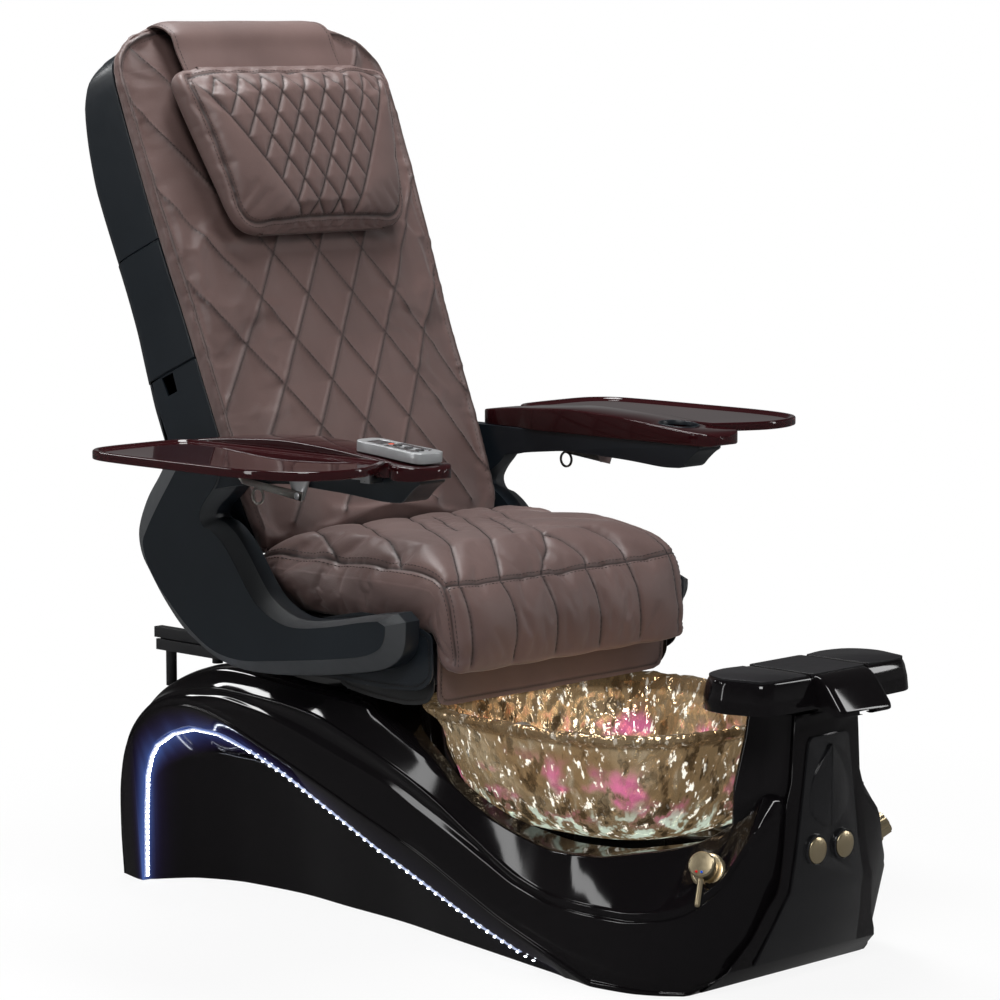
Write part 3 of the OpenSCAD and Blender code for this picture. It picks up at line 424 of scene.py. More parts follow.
deck_line = [(-640, 297), (-620, 301), (-577, 256), (-518, 216), (-450, 202), (-395, 194),
             (-327, 194), (-258, 206), (-187, 228), (-116, 263), (-64, 300), (0, 328),
             (57, 355), (90, 374), (150, 379), (240, 384), (330, 390), (380, 392), (430, 388),
             (484, 374), (540, 350), (590, 315), (630, 268), (655, 215), (668, 150), (676, 80),
             (684, 2)]
rim_line = [(-640, 290), (-620, 296), (-577, 253), (-518, 214), (-450, 200), (-395, 192),
            (-327, 192), (-258, 204), (-187, 226), (-116, 261), (-44, 295), (-6, 309),
            (90, 341), (136, 355), (200, 363), (280, 368), (400, 366), (480, 352.6)]
groove_top = [(-642, 280), (-627, 232), (-603, 170), (-574, 137), (-540, 124), (-474, 115),
              (-407, 115), (-340, 119), (-271, 136), (-165, 189), (-88, 231), (-13, 264),
              (90, 302), (201, 335), (300, 346), (400, 352), (480, 341.5)]
groove_low = [(-642, 272), (-627, 224), (-603, 162), (-574, 129), (-540, 117), (-474, 108),
              (-407, 108), (-340, 112), (-271, 128), (-200, 158), (-165, 173), (-57, 216),
              (-13, 235), (25, 250), (150, 285), (280, 321), (330, 330), (400, 338),
              (480, 332.5)]
rib_line = [(-640, 165), (-624, 112), (-602, 52), (-580, 24), (-557, 16), (-517, 23),
            (-403, 42), (-313, 65), (-212, 95), (-165, 115), (-51, 164), (80, 210),
            (212, 257), (300, 286), (406, 319), (445, 326), (480, 328)]
arch_line = [(-410, 0), (-370, 15), (-300, 42), (-224, 71), (-150, 104), (-51, 148),
             (80, 194), (212, 241), (300, 270), (406, 303), (445, 311), (480, 314),
             (515, 311), (557, 299), (595, 275), (625, 245), (650, 203), (666, 150),
             (676, 90), (684, 0)]
light_line = [(-350, 0), (-328, 9), (-252, 26), (-169, 52), (-91, 82), (-12, 113), (55, 138),
              (123, 167), (192, 196), (276, 231), (355, 257), (435, 275), (494, 276),
              (546, 262), (589, 236), (604, 214), (615, 180), (619, 110), (621, 0)]
toe_line = [(-640, 148), (-636, 133), (-624, 95), (-602, 38), (-557, 0)]
rim_half = [(-640, 100), (-620, 105), (-580, 125), (-540, 150), (-500, 185), (-450, 222),
            (-395, 243), (-350, 250), (-200, 252), (200, 254), (400, 257), (560, 258),
            (620, 254), (655, 244), (676, 232), (684, 226)]
groove_half = [(-642, 90), (-627, 152), (-603, 194), (-574, 233), (-540, 250), (-474, 264),
               (-400, 268), (480, 270), (560, 272), (620, 270), (655, 262), (676, 250),
               (684, 238)]
arch_half = [(-640, 88), (-624, 120), (-602, 152), (-580, 188), (-550, 212), (-520, 236),
             (-480, 254), (-420, 262), (-300, 268), (0, 270), (560, 272), (630, 270),
             (660, 262), (676, 250), (684, 236)]
light_half = [(-410, 262), (-350, 250), (621, 250), (684, 236)]
wall_half = [(-350, 250), (-328, 243), (-252, 228), (-176, 213), (-42, 187), (98, 160),
             (227, 147), (361, 133), (476, 140), (565, 173), (600, 212), (612, 230),
             (619, 238), (621, 250)]
TOE_END, REAR_END = -410, 480
RECESS_FROM, RECESS_TO = -350, 621
stations = np.concatenate([
    [684, 683, 682, 680, 678, 676, 673.5, 671, 668.5, 666, 662, 658], np.arange(655, 620, -5),
    [621, 619, 617, 615, 611, 607, 604], np.arange(596, -560, -7.5), np.arange(-560, -640, -4),
    [-640]])


def shell_ring(y):
    """Cross-section of the shell at y, corners rounded."""
    toe, deck = flow(toe_line, y)[0], flow(deck_line, y)[0]
    arch = toe if y < TOE_END else max(flow(arch_line, y)[0], 0)
    far = y > REAR_END
    if far:
        rib, low, top, rim = (arch + k * (deck - arch) for k in (0.23, 0.30, 0.45, 0.63))
    else:
        rib, low, top, rim = (flow(line, y)[0]
                              for line in (rib_line, groove_low, groove_top, rim_line))
    xe, xc, xr = (flow(line, y)[0] for line in (arch_half, groove_half, rim_half))
    scooped = RECESS_FROM < y < RECESS_TO
    xl = xe if y < TOE_END else flow(light_half, y)[0]
    light = max(flow(light_line, y)[0], 0) if scooped else toe
    xw = flow(wall_half, y)[0] if scooped else xl
    xm = xl - min(14, 0.85 * (xl - xw))
    notch = min(7, 0.4 * (top - low) + 1)
    step = min(7, 0.22 * (rib - arch))
    ledge = min(8, 0.22 * (rim - top))
    half = [(xw, toe), (xw + 0.3 * (xm - xw), toe + 0.8 * (light - toe)), (xm, light), (xl, light),
            (xe, arch), (xe + 0.3, arch + step), (xe - 2.6, arch + 1.25 * step),
            (xe - 2.2, rib - step), (xe + (0 if far else 1), rib), (xc, low),
            (xc - notch, (low + top) / 2), (xc - 1, top), (xc - 1.2, top + ledge),
            (xc - 4, top + 1.3 * ledge), (xr, rim), (xr - 6, rim + 0.7 * (deck - rim)),
            (xr - 20, deck), (xr * 0.45, deck)]
    radii = [1, 8, 2, 4, 3, 1.5, 1.5, 5, 4, 3.5, 5, 3.5, 1.5, 2, 5, 9, 14, 30]
    return stood(eased(both_sides(half), radii + radii[::-1]), 1, y)


def neck_ring(front, middle, rear, z):
    half = [(front, -641), (front + 6, -636), (middle, -608), (rear, -578), (rear - 4, -570),
            (rear - 16, -566)]
    return stood(eased(both_sides(half), [3] * 12, 2), 2, z)


hull = loft("moulded_shell", [shell_ring(y) for y in stations], smooth=32)
carve(hull, loft("neck", [neck_ring(88, 112, 130, 236), neck_ring(84, 106, 128, 306),
                          neck_ring(76, 88, 104, 378), neck_ring(72, 82, 96, 416)]), "UNION")
carve(hull, loft("tub", [squared(*sizes) for sizes in (
    (158, 238, 174), (186, 268, 190), (214, 298, 222), (236, 320, 270), (246, 330, 330),
    (246, 330, 420))]))
spine = [(204, 604), (163, 565), (131, 476), (125, 361), (138, 227), (151, 98), (178, -42),
         (204, -176), (219, -252), (234, -328), (238, -420), (205, -500), (155, -545)]
for name, outline, axis, low, high in (
        ("hollow", both_sides(spine), 2, -1, 160),
        ("loft_space", [(125, 225), (300, 296), (480, 336), (545, 315), (545, 332), (480, 362),
                        (380, 380), (125, 365)], 0, -232, 232),
        ("rear_notch", [(620, -5), (720, -5), (720, 40), (620, 40)], 0, -40, 40)):
    carve(hull, prism(name, outline, axis, low, high))
shade(hull, 32)

# Painted light: the light strip's halo on the recess, kept at the shell's own vertices.
points = places(hull) / MM
strip_path = np.array(light_line[1:], float)
edge = np.stack([np.interp(np.linspace(0, 17, 400), range(18), column)
                 for column in strip_path.T], 1)
near = np.sqrt(((points[:, None, 1:] - edge[None]) ** 2).sum(2)).min(1)
lit = (abs(points[:, 0]) > 205) & (abs(points[:, 0]) < 271.2) & (points[:, 1] < 655)
glow = np.exp(-near / 6.5) * np.clip((points[:, 1] - 60) / 300, 0.12, 1)


def keep(piece, name, values, kind="FLOAT", field="value"):
    """Keeps values at the mesh's vertices under a name that a finish can read."""
    kept = piece.data.attributes.new(name, kind, "POINT")
    kept.data.foreach_set(field, np.asarray(values, np.float32).ravel())


keep(hull, "painted_halo", np.where(lit, glow, 0))
gel_coat = Finish("black_gel_coat", Roughness=0.06, Specular_IOR_Level=0.34,
                  Emission_Strength=1.0)
sparkle = gel_coat.flakes(520, 0.972)
tint = gel_coat.blend(gel_coat.noise(3.0, 2.0), (0.0032, 0.0028, 0.0036, 1),
                      (0.0062, 0.0050, 0.0054, 1))
gel_coat.feed("Base Color", gel_coat.blend(sparkle, tint, (0.75, 0.78, 0.85, 1)))
# Painted light: the halo's violet-blue glow is painted into the gel coat's emission, though the
# shell is no lamp.
painted_halo = gel_coat.own("painted_halo")
violet = gel_coat.blend(painted_halo ** 1.5, (0.040, 0.014, 0.110, 1), (0.12, 0.24, 0.75, 1))
gel_coat.feed("Emission Color", gel_coat.blend(painted_halo * 0.5, (0, 0, 0, 1), violet))
gel_coat.bump(gel_coat.noise(14, 2.0), 0.0006, 0.25)
dress(hull, gel_coat, "base")
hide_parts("hull")

# ---- Light strips ----
# A frosted strip glued on the ledge inside each arch, with a row of light
# chips along it that show as separate dots where the strip turns away.
strip_look = mottled("frosted_strip", 60, (0.25, 0.4, 1.0), (0.45, 0.62, 1.0),
                     socket="Emission Color", Base_Color=(0.75, 0.8, 1, 1), Roughness=0.4,
                     Emission_Strength=0.22)
chip_look = mottled("light_chip", 30, (0.8, 0.88, 1.0), (0.95, 0.97, 1.0),
                    socket="Emission Color", Base_Color=(1, 1, 1, 1), Roughness=0.3,
                    Emission_Strength=12.0)
walk = np.concatenate([[(619.6, 6)], np.array(light_line[-2:0:-1])])


def run_of(line):
    """Distance along a line at each of its points."""
    return np.concatenate([[0], np.cumsum(np.linalg.norm(np.diff(line, axis=0), axis=1))])


def along_line(line, at):
    """Points of a line at distances along it."""
    run = run_of(line)
    return np.stack([np.interp(at, run, column) for column in np.transpose(line)], -1)


leg = run_of(walk)
bend = float(leg[np.argmax(walk[:, 0] < 430)])
# Place along the strip, distance from the middle in millimetres, and width in metres.
chip_rows = [(at, 244, 0.005) for at in np.arange(4, bend, 9.0)]
chip_rows += [(at, 247.6, 0.0036) for at in np.arange(bend, leg[-1] - 40, 17.0)]
for side, name in ((1, "left"), (-1, "right")):
    paint(frame["nodes"]["led_strip_" + name[0]], strip_look)
    chips = bmesh.new()
    for at, x, wide in chip_rows:
        (y, z), (y2, z2) = along_line(walk, at), along_line(walk, at + 2)
        turn = math.atan2(z2 - z, y2 - y)
        outer = Vector((0, -math.sin(turn), math.cos(turn)))
        spot = Vector((side * x * MM, y * MM, z * MM)) + outer * 0.0046
        place = Matrix.Translation(spot) @ Matrix.Rotation(turn, 4, "X")
        bmesh.ops.create_cube(chips, size=1,
                              matrix=place @ Matrix.Diagonal((wide, wide, 0.0016, 1)))
    bmesh.ops.bevel(chips, geom=chips.edges[:], offset=0.0004, segments=1, affect="EDGES")
    mesh = bpy.data.meshes.new("light_chips_" + name)
    chips.to_mesh(mesh)
    chips.free()
    row = bpy.data.objects.new(mesh.name, mesh)
    bpy.context.scene.collection.objects.link(row)
    dress(row, chip_look, "base")

# ---- Tower cover, panel and buttons ----
# A flared gloss cover screwed over the tower's front, with a smoked panel set
# into it and two plated push buttons in raised collars.
where = {n: body for body, names in frame["record"]["behaviour"]["bodies"].items() for n in names}


def stand_in(piece, look, node):
    """The piece takes over from a node: it rides the node's body, takes the given finish, and the
    node is hidden.
    """
    dress(piece, look, where[node])
    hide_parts(node)


def with_edges(node, width, look, segments=2):
    """The node's form with its edges broken, as a moulder or machinist leaves them."""
    piece = bpy.data.objects.new(node + "_finished", frame["nodes"][node].data.copy())
    bpy.context.scene.collection.objects.link(piece)
    pick(piece)
    edit(weld, ("dissolve_limited", dict(angle_limit=math.radians(0.6))), outward)
    modify(piece, "BEVEL", width=width * MM, segments=segments, limit_method="ANGLE",
           angle_limit=math.radians(28))
    shade(piece, 35)
    stand_in(piece, look, node)


smoked = Finish("smoked_panel", Roughness=0.05, Coat_Weight=0.4, Coat_Roughness=0.02,
                Specular_IOR_Level=0.42)
smoked.feed("Base Color", smoked.blend(smoked.flakes(430, 0.965), (0.010, 0.010, 0.011, 1),
                                       (0.6, 0.62, 0.68, 1)))
gold = mottled("champagne_plating", 40, (0.74, 0.60, 0.37), (0.86, 0.73, 0.50),
               (0.26, 0.10, 160, 3.0), Metallic=1.0, Specular_IOR_Level=0.6)
with_edges("front_cover", 1.6, gel_coat)
with_edges("front_panel", 1.2, smoked)
for node in ("button_l", "button_r"):
    with_edges(node, 0.6, gold)

# ---- Foot bowl, drain and whirlpool jet ----
# A blown bowl of smoked amber glass with a hammered skin and a rolled rim; the
# drain and jet pass through its wall on rubber seals.
wall_line = np.array([
    (116, 136, 190), (140, 160, 192), (160, 184, 200), (178, 203, 214), (196, 218, 234),
    (212, 232, 262), (226, 245, 298), (238, 255, 336), (246, 264, 357), (257, 278, 361),
    (262, 285, 368), (262, 285, 374), (258, 281, 377), (252, 275, 376.5), (244, 262, 374),
    (238, 254, 362), (230, 247, 338), (219, 237, 300), (205, 224, 264), (189, 210, 238),
    (171, 195, 218), (153, 176, 205), (133, 152, 199), (110, 128, 197)], float)
steps = np.linspace(0, len(wall_line) - 1, 118)
line = np.stack([np.interp(steps, range(len(wall_line)), column) for column in wall_line.T], 1)
line[1:-1] = 0.25 * line[:-2] + 0.5 * line[1:-1] + 0.25 * line[2:]
shares = (0.2, 0.45, 0.7, 0.88)
sizes = ([(line[0, 0] * k, line[0, 1] * k, 190) for k in shares] + [tuple(row) for row in line]
         + [(line[-1, 0] * k, line[-1, 1] * k, 197) for k in shares[::-1]])
bowl = loft("hammered_bowl", [squared(*size, power=3.0, count=240) for size in sizes], smooth=180)
flat, out = places(bowl), facing(bowl)
dents = np.empty(len(flat))
noise.seed_set(5)
for i, place in enumerate(flat):
    spot = Vector(place) * 56
    spot.z *= 0.6
    near = noise.voronoi(spot + noise.noise_vector(spot * 0.5) * 0.7)[0]
    bold = min(1.0, max(0.0, (place[2] - 0.205) / 0.02))
    dents[i] = bold * (0.0062 * min(near[0], 0.8) ** 1.2 + 0.0016 * noise.noise(spot * 1.7)
                       - 0.0026)
put(bowl, flat + out * dents[:, None])
carve(bowl, prism("drain_bore", circle(0, BOWL_Y, 24, 48), 2, 180, 210))
# The glass's colours paint its light: highlights, glints and shade in the base colour, and a glow
# of the lamp inside in the emission.
glass = Finish("amber_glass", IOR=1.46, Specular_IOR_Level=0.75, Emission_Strength=1.0)
height = glass.node("ShaderNodeSeparateXYZ", {}, (glass.place,), "Z")
ripple = glass.noise(34, 3.0, 0.6, (1, 1, 0.45))
painted_glint = glass.noise(72, 4.0, 0.65, (1, 1, 0.45))
cloud = glass.noise(8.0, 2.0, 0.5)
rose = glass.noise(11.0, 2.0, 0.5, (1.0, 1.0, 1.3)).above(0.50, 0.14)
band = (1 - height.above(0.285, 0.06)) * height.above(0.215, 0.04)
pink = rose * band * ripple.above(0.36, 0.22)
pale = (1 - height.above(0.222, 0.045)) * ripple.above(0.42, 0.14)
tint = glass.blend(cloud.above(0.36, 0.26), (0.40, 0.235, 0.105, 1), (0.82, 0.68, 0.46, 1))
# Painted light: the emission paints the lamp's glow, amber over the whole bowl with pink patches in
# a low band.
lit = glass.blend(pink * 0.8, (0.135, 0.092, 0.048, 1), (0.60, 0.10, 0.29, 1))
# Painted highlights on the ripple crests, painted glints, painted shade between the ripples, pink
# and pale painted glow, and a darker rim band, all in the base colour.
for share, colour in ((ripple.above(0.54, 0.16), (0.92, 0.83, 0.64, 1)),
                      ((1 - ripple).above(0.58, 0.10) * 0.6, (0.22, 0.140, 0.068, 1)),
                      (painted_glint.above(0.60, 0.06), (1.0, 0.98, 0.92, 1)),
                      (pink * 0.6, (0.88, 0.24, 0.42, 1)),
                      (pale * 0.35, (0.84, 0.92, 0.84, 1)),
                      (height.above(0.350, 0.008) * 0.65, (0.26, 0.15, 0.06, 1))):
    tint = glass.blend(share, tint, colour)
# Painted glints, pale painted glow near the bottom, painted shade between the ripples and a dimmed
# glow over the rim, all in the emission.
for share, colour in ((painted_glint.above(0.585, 0.05), (1.0, 0.95, 0.82, 1)),
                      (pale * ripple.above(0.5, 0.1), (0.50, 0.58, 0.48, 1)),
                      ((1 - ripple).above(0.54, 0.08), (0.030, 0.020, 0.010, 1)),
                      (height.above(0.350, 0.006) * 0.75, (0.03, 0.02, 0.01, 1))):
    lit = glass.blend(share, lit, colour)
glass.feed("Base Color", tint)
glass.feed("Emission Color", lit)
glass.feed("Metallic", 0.58 + 0.40 * ripple)
glass.feed("Roughness", 0.05 + 0.08 * cloud)
dimple = glass.node("ShaderNodeMapping", {}, {"Vector": glass.place, "Scale": (1, 1, 0.55)})
dimple = glass.node("ShaderNodeTexVoronoi", dict(feature="SMOOTH_F1"), {"Vector": dimple,
                    "Scale": 64, "Smoothness": 0.3}, "Distance")
glass.bump(dimple + ripple * 0.8 + painted_glint * 0.2, 0.0075, 1.0)
stand_in(bowl, glass, "foot_bowl")

chrome = Finish("polished_drain", Metallic=1.0, Base_Color=(0.75, 0.72, 0.66, 1))
chrome.feed("Roughness", 0.10 + 0.12 * chrome.noise(120))
seal = Finish("seal_rubber", Base_Color=(0.02, 0.02, 0.02, 1))
seal.feed("Roughness", 0.6 + 0.2 * seal.noise(200))
white_plastic = mottled("jet_plastic", 25, (0.52, 0.53, 0.55), (0.68, 0.69, 0.71),
                        (0.30, 0.15, 90), Specular_IOR_Level=0.5)
bulb = mottled("bowl_lamp", 60, (1.0, 0.25, 0.6), (1.0, 0.55, 0.8), socket="Emission Color",
               Base_Color=(1, 0.7, 0.85, 1), Roughness=0.3, Emission_Strength=2.5)
for node, look, width in (("drain_ring", chrome, 0.5), ("drain_stopper", chrome, 0.5),
                          ("bowl_gasket", seal, 1.0), ("bowl_light", bulb, 0.6),
                          ("jet_housing", white_plastic, 1.0), ("jet_impeller", white_plastic, 0.4),
                          ("waste_pipe", white_plastic, 0.8)):
    with_edges(node, width, look)

# ---- Taps ----
# Turned brass, satin champagne plated: a mixer with a lever cap on one side and
# a fluted diverter knob on the other. A red and a blue dot mark hot and cold.
for node in ("mixer_ring", "mixer_ball", "mixer_cap", "knob_ring", "diverter_knob"):
    with_edges(node, 0.7, gold, segments=3)
tap = (Matrix.Scale(-1, 4, (1, 0, 0)) @ Matrix.Translation((0.188, -0.579, 0.1905))
       @ Matrix.Rotation(math.radians(-20.6), 4, "Z") @ Matrix.Rotation(math.radians(62), 4, "Y"))
for name, colour, along in (("hot_dot", (0.75, 0.02, 0.02), 4.2),
                            ("cold_dot", (0.02, 0.12, 0.75), -4.2)):
    clear()
    bpy.ops.mesh.primitive_cylinder_add(vertices=20, radius=0.0019, depth=0.0012,
                                        location=(0.0125, along * MM, 0.0382))
    dot = bpy.context.object
    dot.name = name
    bpy.ops.object.transform_apply(location=True, rotation=True, scale=True)
    edit(("bevel", dict(offset=0.0003, segments=2)))
    dot.data.transform(tap)
    edit(outward)
    enamel = mottled(name + "_enamel", 300, colour, [0.7 * c for c in colour], Roughness=0.25)
    dress(dot, enamel, "mixer_lever")

# ---- Footrest ----
# A wide moulded saddle on a T rail: gloss flanks, satin tops with rounded edges,
# two cross joints and a dished nose over the tower.
foot_half = [(0, -541), (66, -538), (113, -531), (158, -541), (182, -566), (190, -600),
             (182, -636), (174, -662), (160, -673), (140, -676), (70, -678), (0, -678)]
satin = mottled("satin_black", 20, (0.006, 0.006, 0.007), (0.011, 0.010, 0.012),
                (0.34, 0.12, 60, 3.0), Specular_IOR_Level=0.35)
satin.bump(satin.noise(900, 2.0), 0.0001, 0.35)


def curve(points, steps):
    """Open smooth curve through the points."""
    p = np.array(points, float)
    a, b = np.concatenate([p[:1], p[:-2]]), p[:-1]
    c, d = p[1:], np.concatenate([p[2:], p[-1:]])
    t = np.linspace(0, 1, steps, endpoint=False)[None, :, None]
    a, b, c, d = (q[:, None, :] for q in (a, b, c, d))
    out = 0.5 * (2 * b + (c - a) * t + (2 * a - 5 * b + 4 * c - d) * t ** 2
                 + (3 * b - 3 * c + d - a) * t ** 3)
    return np.concatenate([out.reshape(-1, p.shape[1]), p[-1:]])


half = curve(foot_half, 6)
plan_line = np.concatenate([half, half[-2:0:-1] * (-1, 1)])
heart = np.array((0, -607.0))
footrest = loft("footrest_body", [
    stood(heart + (plan_line - heart) * (1 - inset / 190, 1 - inset / 71), 2, z)
    for inset, z in ((60, 428.5), (12, 428), (2.5, 428), (0.6, 428.8), (0, 430.5), (1.5, 450),
                     (4.5, 466), (5.4, 469), (6.6, 472.6), (8.4, 475.4), (10.8, 477.4),
                     (13.8, 478.6), (17, 479), (30, 479.2), (50, 479.3))], smooth=50)
nose_line = eased([(-690, 430), (-716, 418), (-727, 420), (-726, 427), (-697, 466),
                   (-680, 478.3), (-560, 478.3), (-560, 430)], [6, 8, 3, 4, 26, 22, 3, 2], 8)
core = np.array((-640, 448.0))
nose_half = [(-60, 0.90), (-59.4, 0.93), (-58, 0.955), (-55.5, 0.978), (-52, 0.992), (-47, 1)]
carve(footrest, loft("nose", [stood(core + (nose_line - core) * k, 0, x) for x, k in nose_half + [
    (-x, k) for x, k in nose_half[::-1]]], smooth=45), "UNION")
carve(footrest, prism("foot_block", [(-30, -655), (30, -655), (30, -555), (-30, -555)], 2,
                      417, 432), "UNION")
for x in (-65, 65):
    carve(footrest, prism("joint", [(x - 1.6, 472), (x + 1.6, 472), (x + 1.6, 490),
                                    (x - 1.6, 490)], 1, -760, -500))
clear()
bpy.ops.mesh.primitive_uv_sphere_add(segments=64, ring_count=32, radius=1, location=(0, 0, 0))
dish = bpy.context.object
dish.data.transform(Matrix.Translation((0, -0.726, 0.458)) @ Matrix.Rotation(
    math.radians(-35), 4, "X") @ Matrix.Diagonal((0.032, 0.018, 0.024, 1)))
carve(footrest, dish)
for name, x, low, high in (("rail_cut", 20.6, 420.4, 425.6), ("slot_cut", 12.6, 410, 422)):
    carve(footrest, prism(name, [(-x, low), (-x, high), (x, high), (x, low)], 1, -760, -520))
shade(footrest, 40)
stand_in(footrest, gel_coat, "footrest_base")
for node in ("footrest_pad_l", "footrest_pad_r"):
    with_edges(node, 0.4, satin)
centre_line = eased([(-61, -545), (-61, -672), (61, -672), (61, -545)], [6, 10, 10, 6], 4)
centre = loft("centre_top", [stood(centre_line * (k, 1), 2, z) for k, z in (
    (1, 476), (1, 479.6), (0.985, 480.0))], smooth=15)
dress(centre, satin, "footrest")
steel = mottled("bright_steel", 60, (0.42, 0.42, 0.43), (0.62, 0.62, 0.63),
                (0.22, 0.16, 140, 3.0), Metallic=1.0)
with_edges("footrest_rail", 0.5, steel)

# ---- Running gear ----
# Powder-coated channels and box bars carry the seat on rollers; a sealed pump
# and its pipe sit on the floor frame inside the shell.
powder = mottled("black_powder_coat", 14, (0.012, 0.012, 0.013), (0.022, 0.022, 0.024),
                 (0.42, 0.12, 50), Specular_IOR_Level=0.35)
powder.bump(powder.noise(700, 2.0), 0.00015, 0.5)
enamel = mottled("pump_enamel", 12, (0.045, 0.05, 0.06), (0.065, 0.07, 0.085),
                 (0.35, 0.15, 60), Specular_IOR_Level=0.5)
for node in ("lower_rail_l", "lower_rail_r", "upper_rail_l", "upper_rail_r", "seat_frame",
             "seat_pan", "back_frame", "slide_tube", "base_frame"):
    with_edges(node, 0.9, powder)
with_edges("slide_rod", 0.6, steel)
with_edges("pump", 1.5, enamel)

# ---- Seat cushion ----
# Leather over foam, sewn from a top panel, a front panel and two sides. Long
# seams fan back from the front edge and the side seams are stitched double.


def spaced(points, gap):
    """The same line with evenly spaced points, about gap apart."""
    points = np.array(points, float)
    run = run_of(points)
    return along_line(points, np.linspace(0, run[-1], max(2, int(round(run[-1] / gap)) + 1)))


def lift(piece, height):
    """Moves every vertex along its normal, in millimetres."""
    put(piece, places(piece) + facing(piece) * height[:, None] * MM)


def padding(name, rings, pattern):
    """Closed skin through rings, with a place on the flat panels kept at each vertex."""
    piece = loft(name, rings, ends=False, smooth=180)
    source = np.round(np.array(rings).reshape(-1, 3) * MM, 6)
    table = {tuple(key): value for key, value in zip(source, np.array(pattern).reshape(-1, 3))}
    kept = []
    for place in places(piece):
        key = tuple(np.round(place, 6))
        if key not in table:
            key = tuple(source[np.argmin(((source - place) ** 2).sum(1))])
        kept.append(table[key])
    keep(piece, "panel", kept, "FLOAT_VECTOR", "vector")
    return piece


def panel_of(piece):
    """Place on the flat panels of each vertex: across, along, and how far inside."""
    return read(piece.data.attributes["panel"].data, "vector")


def settle(piece, pressure, cap, held, growth=0.02):
    """The foam presses the cover out: cloth under inner pressure, then applied."""
    pick(piece)
    before = places(piece)
    group = piece.vertex_groups.new(name="held")
    for strength in (1.0, 0.5):
        group.add([int(i) for i in np.where(held == strength)[0]], strength, "REPLACE")
    cover = piece.modifiers.new("cover", "CLOTH")
    cloth = cover.settings
    cloth.quality, cloth.mass = 4, 0.4
    cloth.tension_stiffness = cloth.compression_stiffness = 12
    cloth.bending_stiffness = 0.6
    cloth.shrink_min = -growth
    cloth.use_pressure, cloth.uniform_pressure_force = True, pressure
    cloth.effector_weights.gravity = 0
    cloth.vertex_group_mass = "held"
    cover.point_cache.frame_start, cover.point_cache.frame_end = 1, 20
    for frame_number in range(1, 21):
        bpy.context.scene.frame_set(frame_number)
    bpy.ops.object.modifier_apply(modifier="cover")
    bpy.context.scene.frame_set(1)
    piece.vertex_groups.clear()
    move = places(piece) - before
    far = np.linalg.norm(move, axis=1, keepdims=True)
    put(piece, before + move * np.minimum(1, cap * MM / np.maximum(far, 1e-9)))
    modify(piece, "SUBSURF", levels=1, render_levels=1)
    return panel_of(piece)


def reach(panel, line):
    """Distance to a seam, and how far along it, for every place on the panels."""
    best = np.full(len(panel), 1e9)
    along = np.zeros(len(panel))
    run = 0.0
    for a, b in zip(line[:-1], line[1:]):
        d = b - a
        length = np.hypot(*d)
        t = np.clip(((panel[:, :2] - a) @ d) / max(length, 1e-9) ** 2, 0, 1)
        gap = np.hypot(*(panel[:, :2] - (a + t[:, None] * d)).T)
        closer = gap < best
        best[closer], along[closer] = gap[closer], (run + t * length)[closer]
        run += length
    return best, along


def waver(at, seed):
    """Smooth seeded noise of one variable, about -1 to 1."""
    table = np.random.default_rng(seed).uniform(-1, 1, 512)
    i = np.floor(at).astype(int)
    u = at - i
    u = u * u * (3 - 2 * u)
    return table[i % 512] * (1 - u) + table[(i + 1) % 512] * u


def sew(piece, panel, front, seams, plump, width):
    """Sinks the seams into the cover, draws small puckers across them and keeps painted shade along
    them for the finish.

    seams holds (line, depth, pucker); front marks the vertices they may reach.
    """
    nearest = np.full(len(panel), 1e9)
    sink, thread_and_seam_shade = np.zeros(len(panel)), np.zeros(len(panel))
    for number, (line, depth, pucker) in enumerate(seams):
        gap, along = reach(panel, line)
        gap = np.where(front, gap, 1e9)
        nearest = np.minimum(nearest, gap)
        sink = np.minimum(sink, -depth * np.exp(-(gap / 3.0) ** 1.5))
        fold = waver(along / 7.0, 10 + number) + 0.6 * waver(along / 3.6, 60 + number)
        sink = sink + pucker * fold * np.exp(-gap / 11.0) * (1 - np.exp(-gap / 2.5))
        # Painted shade along the sunk seam, kept at the vertices for the leather finish.
        thread_and_seam_shade = np.maximum(thread_and_seam_shade, np.exp(-(gap / 2.2) ** 2))
    lift(piece, sink + np.where(front, plump * (1 - np.exp(-(nearest / width) ** 1.3)), plump))
    keep(piece, "seam", thread_and_seam_shade)


